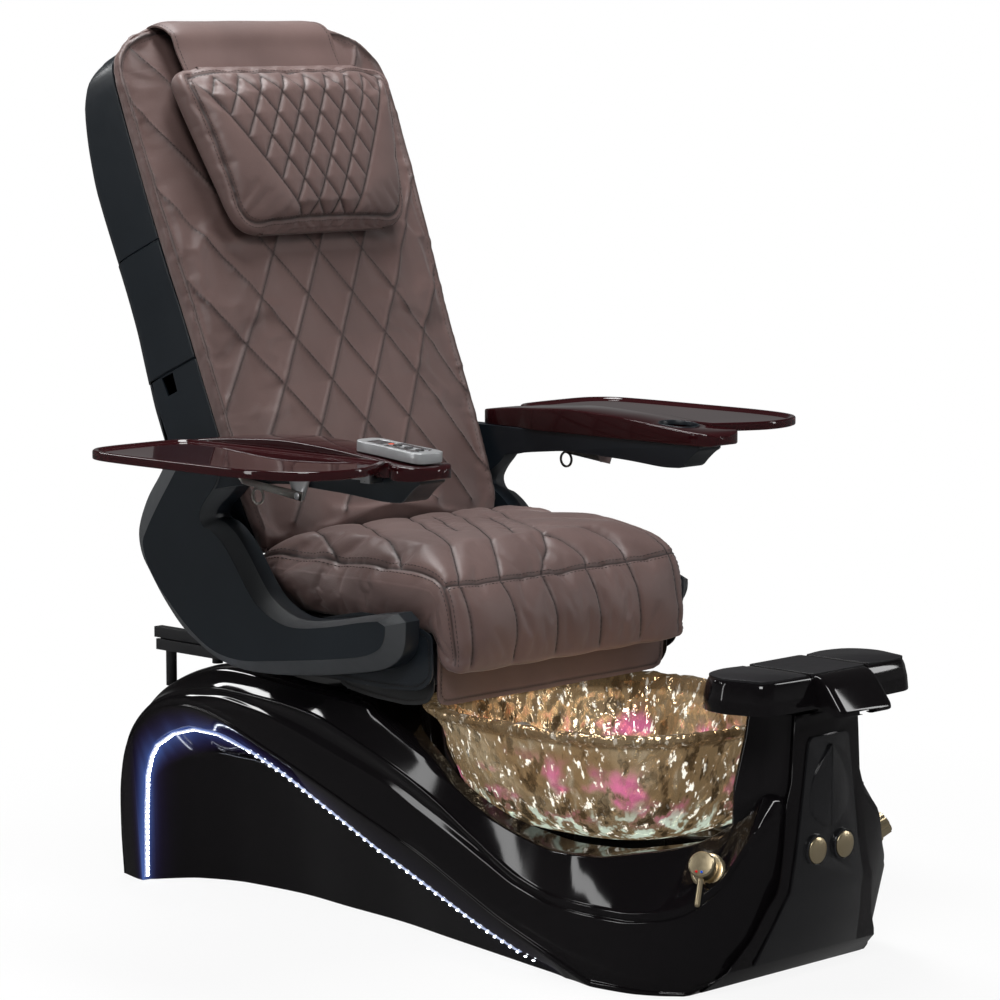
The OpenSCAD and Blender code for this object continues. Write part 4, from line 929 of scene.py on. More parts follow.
def stitches(name, piece, panel, front, lines, pitch=8.0, length=5.2, size=1.1, raised=0.35):
    """Thread lying along lines of the cover, one short bar to a stitch."""
    usable = np.where(front)[0]
    tree = KDTree(len(usable))
    for i in usable:
        tree.insert((panel[i, 0], panel[i, 1], 0), int(i))
    tree.balance()
    skin, out = places(piece), facing(piece)

    def land(spot):
        found = tree.find_n((spot[0], spot[1], 0), 4)
        if found[0][2] > 9:
            return None
        share = np.array([1 / (f[2] + 0.3) ** 2 for f in found])
        share /= share.sum()
        picked = [f[1] for f in found]
        return share @ skin[picked], share @ out[picked]

    clear()
    bpy.ops.mesh.primitive_cylinder_add(vertices=6, radius=1, depth=2, end_fill_type="TRIFAN",
                                        rotation=(0, math.radians(90), 0))
    bar = bpy.context.object
    bpy.ops.object.transform_apply(location=False, rotation=True, scale=False)
    shape = places(bar) * (0.72, 1, 1)
    shape[np.abs(shape[:, 1]) + np.abs(shape[:, 2]) < 0.1, 0] *= 1.35
    faces = [tuple(p.vertices) for p in bar.data.polygons]
    bpy.data.objects.remove(bar)
    every, polygons = [], []
    for line in lines:
        walk = spaced(line, pitch)
        for a, b in zip(walk[:-1], walk[1:]):
            middle, way = (a + b) / 2, (b - a) / max(np.hypot(*(b - a)), 1e-9)
            ends = [land(middle + way * length / 2 * k) for k in (-1, 1)]
            if ends[0] is None or ends[1] is None:
                continue
            (p, n), (q, m) = ends
            x = q - p
            long = np.linalg.norm(x)
            if long < 1e-4 or long > 0.02:
                continue
            x = x / long
            z = n + m
            z = z - x * (z @ x)
            z /= np.linalg.norm(z)
            centre = (p + q) / 2 + z * raised * MM
            start = len(every) * len(shape)
            every.append(centre + shape[:, :1] * x * long / 2 + (
                shape[:, 1:2] * np.cross(z, x) + shape[:, 2:] * z) * size / 2 * MM)
            polygons += [tuple(i + start for i in f) for f in faces]
    mesh = bpy.data.meshes.new(name)
    mesh.from_pydata(np.concatenate(every).tolist(), [], polygons)
    mesh.update()
    made = bpy.data.objects.new(name, mesh)
    bpy.context.scene.collection.objects.link(made)
    pick(made)
    bpy.ops.object.shade_smooth()
    return made


def leather(name, dark, light, rough=0.44):
    """Grained leatherette: pebbles, soft cloudy colour, and painted shade darkening the sunk seams.
    """
    look = Finish(name, Coat_Weight=0.05, Coat_Roughness=0.5, Sheen_Weight=0.12,
                  Sheen_Roughness=0.5, Specular_IOR_Level=0.42)
    colour = look.blend(look.noise(5.0, 3.0, 0.6).above(0.32, 0.36), (*dark, 1), (*light, 1))
    # Painted shade: the seam value darkens the cover along its sunk seams.
    for share, tone in ((look.noise(420, 2.0) * 0.22, 0.55), (look.own("seam") * 0.92, 0.20)):
        colour = look.blend(share, colour, (*(tone * c for c in dark), 1))
    look.feed("Base Color", colour)
    grain = look.cells(620).above(0.02, 0.75)
    creases = look.noise(55, 4.0, 0.6)
    look.feed("Roughness", rough + 0.16 * (look.noise(30, 3.0) - 0.5) + 0.08 * grain)
    look.bump(grain * 0.5 + creases * 0.9, 0.00035, 0.55)
    return look


brown = leather("brown_leather", (0.104, 0.062, 0.056), (0.136, 0.083, 0.075))
thread_and_seam_shade = mottled("dark_thread", 900, (0.008, 0.005, 0.005), (0.026, 0.016, 0.015),
                 Roughness=0.6)

seat_line = [(322, 508), (200, 506), (60, 504), (-60, 501), (-92, 494), (-108, 454),
             (-122, 443), (-138, 445), (-137, 478), (-132, 512), (-127, 545), (-116, 572),
             (-102, 588), (-80, 600), (-50, 608), (0, 612), (60, 613), (120, 611), (160, 613),
             (200, 610), (240, 609), (262, 606), (280, 600), (300, 590), (318, 574), (330, 552),
             (328, 524)]
MESH_GAP = 6.4


def closest(line, spot):
    """Number of the point of a line that lies closest to a spot."""
    return int(np.argmin(np.hypot(*(line - spot).T)))


round_line = curve(seat_line + seat_line[:1], 8)
top_at, low_at, far_top = (closest(round_line, spot) for spot in (
    (-90, 596), (-90, 494), (286, 597)))
# Pairs of equal place along the seat keep the side panels' middle seam closed.
along_top = np.arange(-90, 287, MESH_GAP)
upper, lower = (np.stack([along_top, np.interp(along_top, *side.T)], 1)
                for side in (round_line[top_at:far_top + 1], round_line[low_at::-1]))
front_run = spaced(round_line[low_at:top_at + 1], MESH_GAP)
rear_run = spaced([*round_line[far_top:], (322, 508), (286, 507.6)], MESH_GAP)
profile = np.concatenate([front_run[:-1], upper[:-1], rear_run[:-1], lower[:0:-1]])
turn = 1 - np.abs(np.linspace(-1, 1, len(front_run)))[:, None]
middle_line = np.stack([along_top, 0 * along_top + 548], 1)
spine = np.concatenate([((-90, 548) + turn * (-22, -62))[:-1], middle_line[:-1],
                        np.tile((along_top[-1], 548.0), (len(rear_run) - 1, 1)),
                        middle_line[:0:-1]])
run = run_of(profile)
run = run - run[closest(profile, (-116, 574))]
SEAT_HALF, CORNER = 268.0, 17.0


def seat_ring(x, pull, panel_x):
    """Cross-section of the cover at x, and the places of its points on the panels."""
    e = max(0.0, (abs(x) - 226) / (SEAT_HALF - 226))
    y = 100 + (profile[:, 0] - 100) * (1 - 0.03 * e * e)
    z = np.where(profile[:, 1] > 580, 580 + (profile[:, 1] - 580) * (1 - 0.42 * e ** 3),
                 profile[:, 1])
    ring = spine + (np.stack([y, z], 1) - spine) * pull
    return stood(ring, 0, x), stood(np.stack([run, np.full(len(run), pull)], 1), 0, panel_x)


def side_rings(s):
    """Rounded corner, then a slightly domed side panel that closes on its spine."""
    steps = [(SEAT_HALF - CORNER + CORNER * math.sin(t), 1 - 0.27 * (1 - math.cos(t)),
              SEAT_HALF - CORNER + CORNER * t) for t in np.radians((18, 36, 54, 72, 90))]
    reach_out = steps[-1][2]
    for k in np.linspace(0.92, 0.0, 11):
        steps.append((SEAT_HALF + 5 * (1 - k * k), 0.73 * k, reach_out + 62 * (1 - k)))
    return [(s * x, pull, s * panel_x) for x, pull, panel_x in steps]


flat_x = np.linspace(0, SEAT_HALF - CORNER, 40)
rows = (side_rings(-1)[::-1] + [(x, 1.0, x) for x in (*-flat_x[:0:-1], *flat_x)]
        + side_rings(1))
seat = padding("seat_cushion_cover", *zip(*(seat_ring(*row) for row in rows)))
first = places(seat)
held = np.where(first[:, 2] < 0.512, 1.0, 0.0)
held[(first[:, 1] < -0.085) & (first[:, 2] < 0.512) & (first[:, 2] > 0.452)] = 0
panel = settle(seat, 3.0, 14, held)
level = places(seat)
front = (np.abs(panel[:, 0]) < 300) & ~((level[:, 2] < 0.512) & (level[:, 1] > -0.115))


def plan(points):
    """Lines drawn on the seat's plan, moved to the panels' own measure."""
    points = np.array(points, float)
    index = np.arange(int(np.argmin(np.abs(run))), len(front_run) + len(upper) + 5)
    mapped = np.interp(points[:, 1], profile[index, 0], run[index])
    return spaced(curve(np.stack([points[:, 0], mapped], 1), 6), 6)


def drop(x, bow):
    """A seam down the front panel."""
    return spaced(curve([(x, 0), (x + bow, -64), (x, -128)], 6), 6)


long_seams = [[(-237, -116), (-160, -10), (-71, 124), (63, 330)],
              [(-142, -116), (-62, 0), (27, 123), (160, 330)],
              [(-47, -116), (-20, -95), (18, -61), (73, 53), (160, 190), (250, 330)],
              [(-268, 138), (-205, 235), (-143, 330)], [(-268, -16), (-160, 150), (-43, 330)],
              [(57, -116), (66, -98), (50, -62), (28, -40)],
              [(150, -116), (155, -75), (120, -35), (54, 7)],
              [(245, -116), (240, -84), (218, -32), (112, 84)],
              [(262, 20), (223, 88), (185, 180), (160, 235)]]
pleats = [plan(line) for line in ([(-74, 49), (-20, 130), (42, 220)],
                                  [(-15, -16), (38, 60), (91, 140)])]
drops = [(-237, 4), (-142, 5), (-47, 2), (55, 0), (150, -3), (245, -4)]
side_walk = np.array([(0, w) for w in np.linspace(-132, run.max() * 0.47, 40)])
seams = ([(plan(line), 3.4, 0.55) for line in long_seams] + [(line, 2.2, 0.9) for line in pleats]
         + [(drop(x, bow), 3.0, 0.45) for x, bow in drops])
stitched = ([line for line, _, _ in seams]
            + [spaced([(-262, w), (262, w)], 8) for w in (-5.5, 5.5)]
            + [side_walk + (s * x, 0) for s in (-1, 1) for x in (260.5, 274.5)])
seams += [(spaced([(-265, 0), (265, 0)], 8), 3.4, 0.35)]
seams += [(side_walk + (s * 267.5, 0), 3.2, 0.7) for s in (-1, 1)]
sew(seat, panel, front, seams, 4.2, 20)
# Cross puckers gathered along the two short pleats.
pull_in = np.zeros(len(panel))
for pleat in pleats:
    gap, along = reach(panel, pleat)
    fold = np.cos(along / 34 * 2 * math.pi)
    pull_in += np.where((along > 8) & (along < 190) & front, -1.9 * np.exp(
        -((fold - 1) / 0.22) ** 2) * np.exp(-(gap / 21) ** 2), 0)
lift(seat, pull_in)
stand_in(seat, brown, "seat_cushion")
sewing = stitches("seat_stitching", seat, panel, front, stitched)
dress(sewing, thread_and_seam_shade, "seat")

# ---- Skirts and flaps ----
# Flat leatherette hung from the seat pan: a dark skirt inside each arm, a grey
# flap under it, and a brown front flap; all have turned, stitched edges.
HEM = 7.0


def hanging(name, node, look, outline, radii, axis, at, thick, sag, bow=0.0):
    """A sheet cut to outline, wavy towards its free lower edge, with its seam line sewn."""
    shape = eased(outline, radii, 5)
    low, high = shape.min(0), shape.max(0)
    span = high - low
    piece, i, j = sheet_grid(name, int(max(40, span[0] / 6)) + 1, int(max(22, span[1] / 4)) + 1)
    w = low[1] + j / j.max() * span[1]
    closed = np.concatenate([shape, shape[:1]])
    # The grid's rows are squeezed between the outline's two sides at each height.
    left, right = np.full(len(w), np.inf), np.full(len(w), -np.inf)
    level = np.clip(w, low[1] + 0.01, high[1] - 0.01)
    for a, b in zip(closed[:-1], closed[1:]):
        if a[1] == b[1]:
            continue
        hit = (level >= min(a[1], b[1])) & (level <= max(a[1], b[1]))
        x = a[0] + (level - a[1]) / (b[1] - a[1]) * (b[0] - a[0])
        left = np.where(hit, np.minimum(left, x), left)
        right = np.where(hit, np.maximum(right, x), right)
    u = left + i / i.max() * (right - left)
    hang = np.clip((high[1] - w) / span[1], 0, 1)
    wave = sag * hang ** 1.4 * (np.sin(u / 34.0) * 0.6 + np.sin(u / 13.0 + 1.3) * 0.22)
    wave = wave + bow * hang * (u / 261) ** 2
    flat = np.stack([u, w], 1)
    gap, _ = reach(flat, closed)
    rim = 0.5 * np.exp(-((gap - HEM) / 1.6) ** 2)
    put(piece, stood(flat, axis, at + wave - rim * np.sign(at)) * MM)
    # Painted shade along the hem seam, read by the leather finish.
    keep(piece, "seam", np.exp(-((gap - HEM) / 1.5) ** 2))
    pick(piece)
    edit(outward)
    middle = (low + high) / 2
    hem_line = middle + (closed - middle) * (1 - HEM / (span / 2))
    sewing = stitches(name + "_stitching", piece, stood(flat, 2, 0), np.ones(len(flat), bool),
                      [hem_line], pitch=6.5, length=4.3, size=0.8, raised=0.9 + thick / 2)
    modify(piece, "SOLIDIFY", thickness=thick * MM, offset=0)
    shade(piece, 60)
    stand_in(piece, look, node)
    dress(sewing, thread_and_seam_shade, where[node])


navy = leather("navy_leatherette", (0.0050, 0.0085, 0.0130), (0.0085, 0.0135, 0.0195), 0.42)
grey = leather("grey_leatherette", (0.0105, 0.0110, 0.0115), (0.0165, 0.0170, 0.0175), 0.5)
for look in (navy, grey):
    look.shader.inputs["Sheen Weight"].default_value = 0.03
for s, side in ((1, "l"), (-1, "r")):
    hanging("side_skirt_leather_" + side, "side_skirt_" + side, navy, [
        (60, 519), (-32, 519), (-98, 500), (-101, 431), (-75, 410), (-20, 405), (78, 405),
        (140, 410), (150, 500)], [6, 20, 12, 22, 30, 40, 40, 12, 12], 0, s * 282, 2.6, 1.2)
hanging("front_flap_leather", "front_flap", brown, [(-261, 476), (261, 476), (261, 384),
        (-261, 384)], [2, 2, 22, 22], 1, -91, 2.8, 2.6, bow=4.0)
for s, side in ((1, "l"), (-1, "r")):
    hanging("lower_flap_" + side, "lower_flaps", grey, [
        (-90, 430), (-90, 410), (-77, 389), (-38, 381), (29, 382), (96, 390), (120, 398),
        (120, 430)], [2, 16, 30, 30, 40, 20, 12, 2], 0, s * 268.5, 2.2, 1.0)

# ---- Arms ----
# Hollow charcoal mouldings bolted to the seat frame. A raised C-shaped face with
# sloped flanks runs down the rear, along the bottom and up round the opening.
moulded = mottled("charcoal_moulding", 9, (0.0060, 0.0092, 0.0130), (0.0088, 0.0128, 0.0175),
                  (0.34, 0.10, 40), Specular_IOR_Level=0.36)
moulded.bump(moulded.cells(900) * 0.6 + moulded.noise(500, 2.0) * 0.4, 0.00012, 0.4)
rubbed = mottled("grained_flank", 10, (0.042, 0.046, 0.050), (0.058, 0.062, 0.067),
                 (0.5, 0.12, 60), Specular_IOR_Level=0.4)
rubbed.bump(rubbed.cells(650), 0.0002, 0.5)

loop_outer = [(458, 748), (462, 742), (486, 704), (519, 660), (540, 609), (533, 570), (511, 540),
              (475, 497), (432, 457), (388, 433), (352, 417), (302, 407), (239, 405), (141, 413),
              (39, 428), (-32, 443), (-66, 462), (-79, 486), (-81, 522)]
loop_inner = [(-64, 534), (-5, 525), (62, 511), (130, 502), (171, 506), (213, 525), (240, 551),
              (268, 587), (296, 618), (324, 637), (345, 643), (349, 652), (338, 667), (316, 684),
              (300, 700), (292, 724), (290, 748)]
face_outer = [(398, 744), (404, 732), (428, 699), (458, 659), (485, 618), (496, 589), (474, 543),
              (419, 491), (371, 456), (323, 434), (264, 427), (194, 434), (80, 449), (-10, 464),
              (-50, 480), (-63, 500), (-64, 517)]
face_inner = [(-48, 523), (-5, 516), (62, 502), (130, 493), (174, 497), (219, 516), (248, 544),
              (276, 580), (303, 610), (330, 628), (350, 634), (358, 652), (347, 672), (330, 690),
              (318, 706), (310, 726), (306, 744)]


def even(line, count):
    """A smooth curve through the points, at evenly spaced places."""
    line = curve(line, 6)
    return along_line(line, np.linspace(0, run_of(line)[-1], count))


loop_line = np.concatenate([even(loop_outer, 110), even(loop_inner, 90)])
face_line = np.concatenate([even(face_outer, 110), even(face_inner, 90)])


def capped(name, rings, smooth=35):
    """Loft whose two ends are flat faces of any outline."""
    piece = loft(name, rings, ends=False, smooth=smooth)
    work = bmesh.new()
    work.from_mesh(piece.data)
    bmesh.ops.holes_fill(work, edges=[e for e in work.edges if e.is_boundary], sides=0)
    bmesh.ops.recalc_face_normals(work, faces=work.faces[:])
    work.to_mesh(piece.data)
    work.free()
    shade(piece, smooth)
    return piece


fore_line = eased([(-137, 748), (-138, 741), (-126, 734), (-112, 722), (-100, 709), (-60, 707),
                   (21, 713), (88, 715), (154, 718), (249, 708), (300, 700), (345, 690),
                   (345, 748)], [1, 4, 12, 16, 16, 40, 60, 60, 60, 60, 30, 2, 2], 4)
arm_steps = ((292, 0), (293, 0), (318, 0), (321, 0.03), (324, 0.10), (344.5, 0.88),
             (347.5, 0.97), (349.2, 1), (350, 1))
for s, node in ((1, "arm_l"), (-1, "arm_r")):
    arm = capped("arm_moulding_" + node[-1], [
        stood(loop_line + (face_line - loop_line) * share, 0, s * x) for x, share in arm_steps])
    fore = prism("fore", fore_line, 0, s * 292, s * 346)
    modify(fore, "BEVEL", width=0.006, segments=4, limit_method="ANGLE",
           angle_limit=math.radians(60))
    carve(arm, fore, "UNION")
    shade(arm, 35)
    stand_in(arm, moulded, node)
    arm.data.materials.append(rubbed.material)
    for face in arm.data.polygons:
        n, c = face.normal, face.center
        sloped = 0.12 < abs(n.x) < 0.96 and c.z < 0.742 and abs(c.x) > 0.32
        face.material_index = 1 if sloped else 0

# ---- Arm pads and tray leaves ----
# Thick lacquer in deep burgundy over a wooden core: a pad screwed on each arm,
# and a thin leaf with a raised lip that folds down on a steel piano hinge.
lacquer = mottled("burgundy_lacquer", 6, (0.019, 0.0034, 0.0044), (0.031, 0.0052, 0.0066),
                  Roughness=0.04, Specular_IOR_Level=0.42)
lacquer.bump(lacquer.noise(9.0, 2.0), 0.0004, 0.15)
zinc = mottled("bright_zinc", 60, (0.66, 0.63, 0.57), (0.84, 0.82, 0.78),
               (0.28, 0.14, 140, 3.0), Metallic=0.7)
pad_in = [(-163, 312), (-160, 304), (-154, 296), (-146, 289), (-130, 284), (-60, 284), (225, 284),
          (245, 288), (275, 295), (330, 298), (352, 302), (366, 311), (371, 322)]
pad_out = [(-163, 338), (-160, 352), (-155, 365), (-146, 377), (-132, 384), (-118, 385),
           (-108, 380), (-98, 370), (-88, 366.4), (-60, 366), (340, 366), (356, 362),
           (366, 352), (371, 334)]
pad_top = [(-163, 764), (-152, 768.5), (-120, 771), (-40, 778), (60, 786), (145, 789),
           (230, 785), (309, 779), (371, 772)]
pad_stations = np.concatenate([[-163, -162, -160, -157, -153, -148], np.arange(-142, 360, 8.0),
                               [361, 365, 368, 370, 371]])
leaf_plan = [(376, -92), (384, -98), (392, -103), (430, -126), (470, -140), (520, -136),
             (566, -112), (592, -66), (604, 10), (605, 120), (604, 250), (597, 318), (574, 350),
             (540, 363), (470, 365), (410, 362), (386, 352), (378, 342), (376, 330)]
leaf_line = np.concatenate([curve(leaf_plan, 7), spaced([(376, 330), (376, -92)], 14)[1:-1]])


def drawn_in(line, d):
    """The closed line moved inwards by d, with nothing folded over at its corners."""
    a, b = np.roll(line, 1, 0), np.roll(line, -1, 0)
    along = (b - a) / np.linalg.norm(b - a, axis=1, keepdims=True)
    moved = line + d * np.stack([-along[:, 1], along[:, 0]], 1)
    for _ in range(400):
        back = ((np.roll(moved, -1, 0) - moved) * (b - line)).sum(1) < -1e-9
        for i in np.where(back)[0]:
            j = (i + 1) % len(line)
            moved[i] = moved[j] = (moved[i] + moved[j]) / 2
    return moved


inner = leaf_line.mean(0) + (drawn_in(leaf_line, 18) - leaf_line.mean(0)) * 0.6
leaf_rings = [(inner, 766.5)] + [(drawn_in(leaf_line, d), z) for d, z in (
    (23.5, 766.5), (22.5, 765.6), (22, 762.6), (21.4, 762), (2, 762), (0.6, 762.6), (0, 764),
    (0, 773.6), (0.5, 775), (1.8, 776), (6.6, 776), (8.2, 775.5), (9.6, 773.8), (11, 772.5),
    (13, 772.1), (18, 772))] + [(inner, 772)]
CUP_X, CUP_Y = 328, -62
for s, tail in ((1, "l"), (-1, "r")):
    rings = []
    for y in pad_stations:
        a, b, z = (flow(line, y)[0] for line in (pad_in, pad_out, pad_top))
        low = 748 + 3 * (1 - min(1.0, (y + 163.5) / 6, (371.5 - y) / 6))
        ring = eased([(a, low), (b, low), (b, z - 0.3), (a, z - 0.3)], [2.0, 2.0, 3.2, 3.2])
        rings.append(stood(ring * (s, 1), 1, y))
    pad = loft("arm_pad_cap_" + tail, rings, smooth=38)
    if s > 0:
        carve(pad, prism("cup", circle(CUP_X, CUP_Y, 34, 72), 2, 753, 800))
        shade(pad, 38)
        brim = []
        for radius, z in ((34.2, -2), (34.2, 0.5), (33.4, 1.2), (31.6, 1.2), (31.0, 0.4),
                          (31.0, -6), (33.9, -6)):
            ring = circle(CUP_X, CUP_Y, radius, 72)
            brim.append(stood(ring, 2, flow(pad_top, ring[:, 1]) + z))
        dress(loft("cup_ring", brim, torus=True, smooth=60), moulded, "seat")
    stand_in(pad, lacquer, "arm_pad_" + tail)
    leaf = loft("tray_leaf_panel_" + tail, [stood(line * (s, 1), 2, z) for line, z in leaf_rings],
                smooth=38)
    stand_in(leaf, lacquer, "tray_leaf_" + tail)
    for y in (-40, 60, 230, 310):
        barrel = prism("hinge_barrel_" + tail + str(y + 40), circle(373, 756, 5.4, 28) * (s, 1),
                       1, y + 0.5, y + 22)
        wing = [(s * x, z) for x, z in ((374, 757), (374, 762.3), (389, 762.3), (389, 757))]
        carve(barrel, prism("wing", wing, 1, y + 0.5, y + 22), "UNION")
        shade(barrel, 35)
        dress(barrel, steel, where["tray_leaf_" + tail])
    with_edges("tray_hinge_" + tail, 0.35, steel)
    with_edges("latch_lever_" + tail, 0.35, zinc)

# ---- Handset ----
# A silver handset lying on the right arm pad: glossy dark display, two-shot keys.
silver = mottled("handset_silver", 50, (0.42, 0.43, 0.44), (0.56, 0.57, 0.58),
                 (0.26, 0.10, 200), Metallic=0.55, Specular_IOR_Level=0.5)
keycap = mottled("keycap", 90, (0.012, 0.012, 0.013), (0.022, 0.022, 0.024),
                 (0.4, 0.1, 300), Specular_IOR_Level=0.4)
with_edges("remote_body", 0.9, silver, segments=3)
for node in ("remote_key_a", "remote_key_b", "remote_key_c"):
    with_edges(node, 0.5, keycap)
hand = Matrix.Translation((-0.328, -0.072, 0.7774)) @ Matrix.Rotation(math.radians(4.4), 4, "X")
film = Finish("display_film", Roughness=0.08)
film.feed("Base Color", film.blend(film.noise(260, 4.0).above(0.46, 0.1),
                                   (0.010, 0.011, 0.012, 1), (0.16, 0.17, 0.18, 1)))
ink = mottled("start_key", 300, (0.60, 0.050, 0.018), (0.75, 0.090, 0.030), Roughness=0.35)
# Thin plates with broken edges, set on the handset's top.
key_edge = [(9, -56), (21, -52), (22, 12), (9, 14)]
for name, outline, radii, low, high, look in (
        ("display", [(-16, 21), (16, 21), (15, 57), (-15, 57)], [3] * 4, 13.9, 15.6, film),
        ("key_panel_l", [(-x, y) for x, y in key_edge], [2, 4, 4, 2], 15.6, 16.5, film),
        ("key_panel_r", key_edge, [2, 4, 4, 2], 15.6, 16.5, film),
        ("start_key", [(-4.5, 12.5), (4.5, 12.5), (4.5, 18.5), (-4.5, 18.5)], [2] * 4, 15.6,
         16.9, ink)):
    plate = prism(name, eased(outline, radii), 2, low, high)
    modify(plate, "BEVEL", width=0.0003, segments=2)
    plate.data.transform(hand)
    dress(plate, look, where["remote_body"])

# ---- Backrest ----
# A tall padded cover with diamonds sewn across it and a double-stitched border,
# on a moulded rear shell; the shell houses a steel frame and massage carriage.
rake = math.radians(23)
upright = Matrix.Translation((0, 0.318, 0.510)) @ Matrix.Rotation(-rake, 4, "X")


def lean(piece):
    """From the back's own upright frame to its raked place."""
    piece.data.transform(upright)
    piece.data.update()


def leaned_cover(piece, sewing, node):
    """A cover and its stitches, leaned back; the cover takes over from a node."""
    lean(piece)
    stand_in(piece, brown, node)
    lean(sewing)
    dress(sewing, thread_and_seam_shade, "back")


def boxed(z, half, x, face, side, rear, steps, middle, pull, narrow=1.0):
    """Ring of a boxed cover at z, and the places of its points on the panels."""
    ring = np.array([*zip(x, face), *side, *((a, rear) for a in x[::-1]),
                     *((-a, b) for a, b in side[::-1])])
    spots = [*x, *(half + d for d in steps[:-1]), *(np.sign(x[::-1]) * (half + steps[-1])),
             *(-half - d for d in steps[-2::-1])]
    inside = np.repeat((0, 0, 1, 0), [len(x), len(side)] * 2)
    flat = np.stack([ring[:, 0] * narrow, np.full(len(ring), middle)], 1)
    return (stood(flat + (ring - flat) * pull, 2, z),
            np.stack([spots, np.full(len(ring), z), inside], 1))


back_half = [(66, 264), (80, 268), (120, 275), (250, 284), (480, 289), (560, 294), (700, 301),
             (860, 304), (890, 300), (910, 291), (928, 275), (942, 255), (953, 230),
             (961, 200), (966, 170), (968, 140)]
back_front = [(66, -70), (76, -82), (88, -90), (110, -93), (400, -95), (573, -97), (700, -97),
              (850, -94), (910, -88), (942, -78), (958, -68), (968, -56)]
back_rear = [(66, -32), (480, -33), (692, -40), (924, -48), (968, -50)]
levels = np.concatenate([np.arange(72, 885, 6.5), np.arange(885, 940, 5), [944, 948, 952, 955.5,
                         958.5, 961, 963, 965, 966.5, 967.5, 968]])
columns = np.linspace(-1, 1, 73)


def back_ring(z, pull):
    h, f, r = (flow(line, z)[0] for line in (back_half, back_front, back_rear))
    middle = (f + r) / 2
    seam = max(f + 24 * min(1, (r - f) / 44), middle - 2)
    face = seam + (f - 3 - seam) * (1 - np.abs(columns) ** 2.6)
    side = [(h - 2.5, seam + 3), (h + 0.5, seam + 8), (h + 1.5, (seam + r) / 2), (h, r - 5),
            (h - 4, r - 1)]
    return boxed(z, h, columns * (h - 6), face, side, r, (2, 8, 16, 26, 32, 40), middle, pull,
                 0.985 if pull < 1 else 1)


rows = [(66, 0.0), (66.4, 0.5), (68, 0.8), *((z, 1.0) for z in levels), (968.6, 0.8),
        (969, 0.5), (969.2, 0.0)]
back = padding("back_cushion_cover", *zip(*(back_ring(*row) for row in rows)))
kept = panel_of(back)
width = flow(back_half, kept[:, 1])
held = np.where((kept[:, 2] > 0.5) | (np.abs(kept[:, 0]) > width + 20), 1.0, 0.0)
held = np.where((held == 0) & (np.abs(np.abs(kept[:, 0]) - width + 6) < 7), 0.5, held)
panel = settle(back, 1.6, 9, held, growth=0.015)
width = flow(back_half, panel[:, 1])
front = (panel[:, 2] < 0.3) & (np.abs(panel[:, 0]) < width + 20)


def outline(inset):
    """The back's outline moved in by inset, from the bottom left over the top."""
    z = np.concatenate([np.linspace(100, 860, 60),
                        860 + 95 * np.sin(np.radians(np.linspace(4, 90, 24)))])
    half = flow(back_half, np.clip(z + inset * 0.8 * (z > 860), 80, 968)) - inset
    return np.concatenate([np.stack([-half, z], 1), np.stack([half, z], 1)[::-1]])


SLOPE, CROSSING, SPACING = 0.678, 551.0, 101.0
quilting = []
z = np.linspace(90, 960, 160)
for k in range(-3, 2):
    for way in (1, -1):
        x = way * (k * SPACING - (z - CROSSING) * SLOPE)
        line = np.stack([x, z], 1)[(np.abs(x) <= flow(back_half, z) - 6) & (z >= 96) & (z <= 952)]
        if len(line) > 4:
            quilting.append(spaced(line, 8))
border = outline(7)
sew(back, panel, front, [(line, 3.4, 0.6) for line in quilting] + [(border, 3.6, 0.7)], 4.4, 22)
# Slack in the cover: soft sideways creases next to the border and under the pillow.
gap, along = reach(panel, border)
crease = waver(along / 26, 201) * np.exp(-((gap - 34) / 30) ** 2) * (gap > 3)
fine = waver(along / 11, 202) * np.exp(-((gap - 16) / 15) ** 2) * (gap > 2)
lift(back, np.where(front, 1.5 * crease + 0.7 * fine, 0))
sewing = stitches("back_stitching", back, panel, front, quilting + [outline(13), outline(1.5)])
leaned_cover(back, sewing, "back_cushion")

# ---- Head pillow and its strap ----
# A boxed pillow with a fan of small diamonds, hung over the back on a wide strap.
pillow_half = [(580, 140), (584, 160), (590, 174), (600, 184), (620, 192), (660, 200),
               (700, 208), (740, 216), (780, 224), (815, 230), (836, 233), (848, 229),
               (857, 219), (863, 202), (866, 180)]
pillow_deep = [(580, 17), (588, 24), (604, 34), (640, 41), (700, 46), (780, 50), (820, 50),
               (842, 44), (856, 34), (866, 22)]
PILLOW_REAR = -107.0
levels = np.concatenate([[580, 581, 582.5, 584.5, 587, 590], np.arange(594, 838, 5),
                         [842, 846, 850, 853.5, 856.5, 859, 861, 863, 864.5, 865.5, 866]])
columns = np.linspace(-1, 1, 79)


def pillow_ring(z, pull):
    h, deep = (flow(line, z)[0] for line in (pillow_half, pillow_deep))
    seam = PILLOW_REAR - deep * 0.55
    face = seam - (deep - deep * 0.55 + 1) * (1 - np.abs(columns) ** 3.2)
    side = [(h - 1.5, seam + 2), (h + 1, seam + 6), (h + 1, PILLOW_REAR - 6),
            (h - 2, PILLOW_REAR - 1.5)]
    return boxed(z, h, columns * (h - 5), face, side, PILLOW_REAR, (2, 8, 16, 24, 30),
                 PILLOW_REAR - deep / 2, pull)


rows = [(579.4, 0.0), (579.5, 0.45), (579.7, 0.8), *((z, 1.0) for z in levels), (866.3, 0.8),
        (866.5, 0.45), (866.6, 0.0)]
pillow = padding("head_pillow_cover", *zip(*(pillow_ring(*row) for row in rows)))
kept = panel_of(pillow)
width = flow(pillow_half, kept[:, 1])
held = np.where((kept[:, 2] > 0.5) | (np.abs(kept[:, 0]) > width + 14), 1.0, 0.0)
panel = settle(pillow, 2.4, 8, held, growth=0.015)
width = flow(pillow_half, panel[:, 1])
front = (panel[:, 2] < 0.3) & (np.abs(panel[:, 0]) < width + 14)


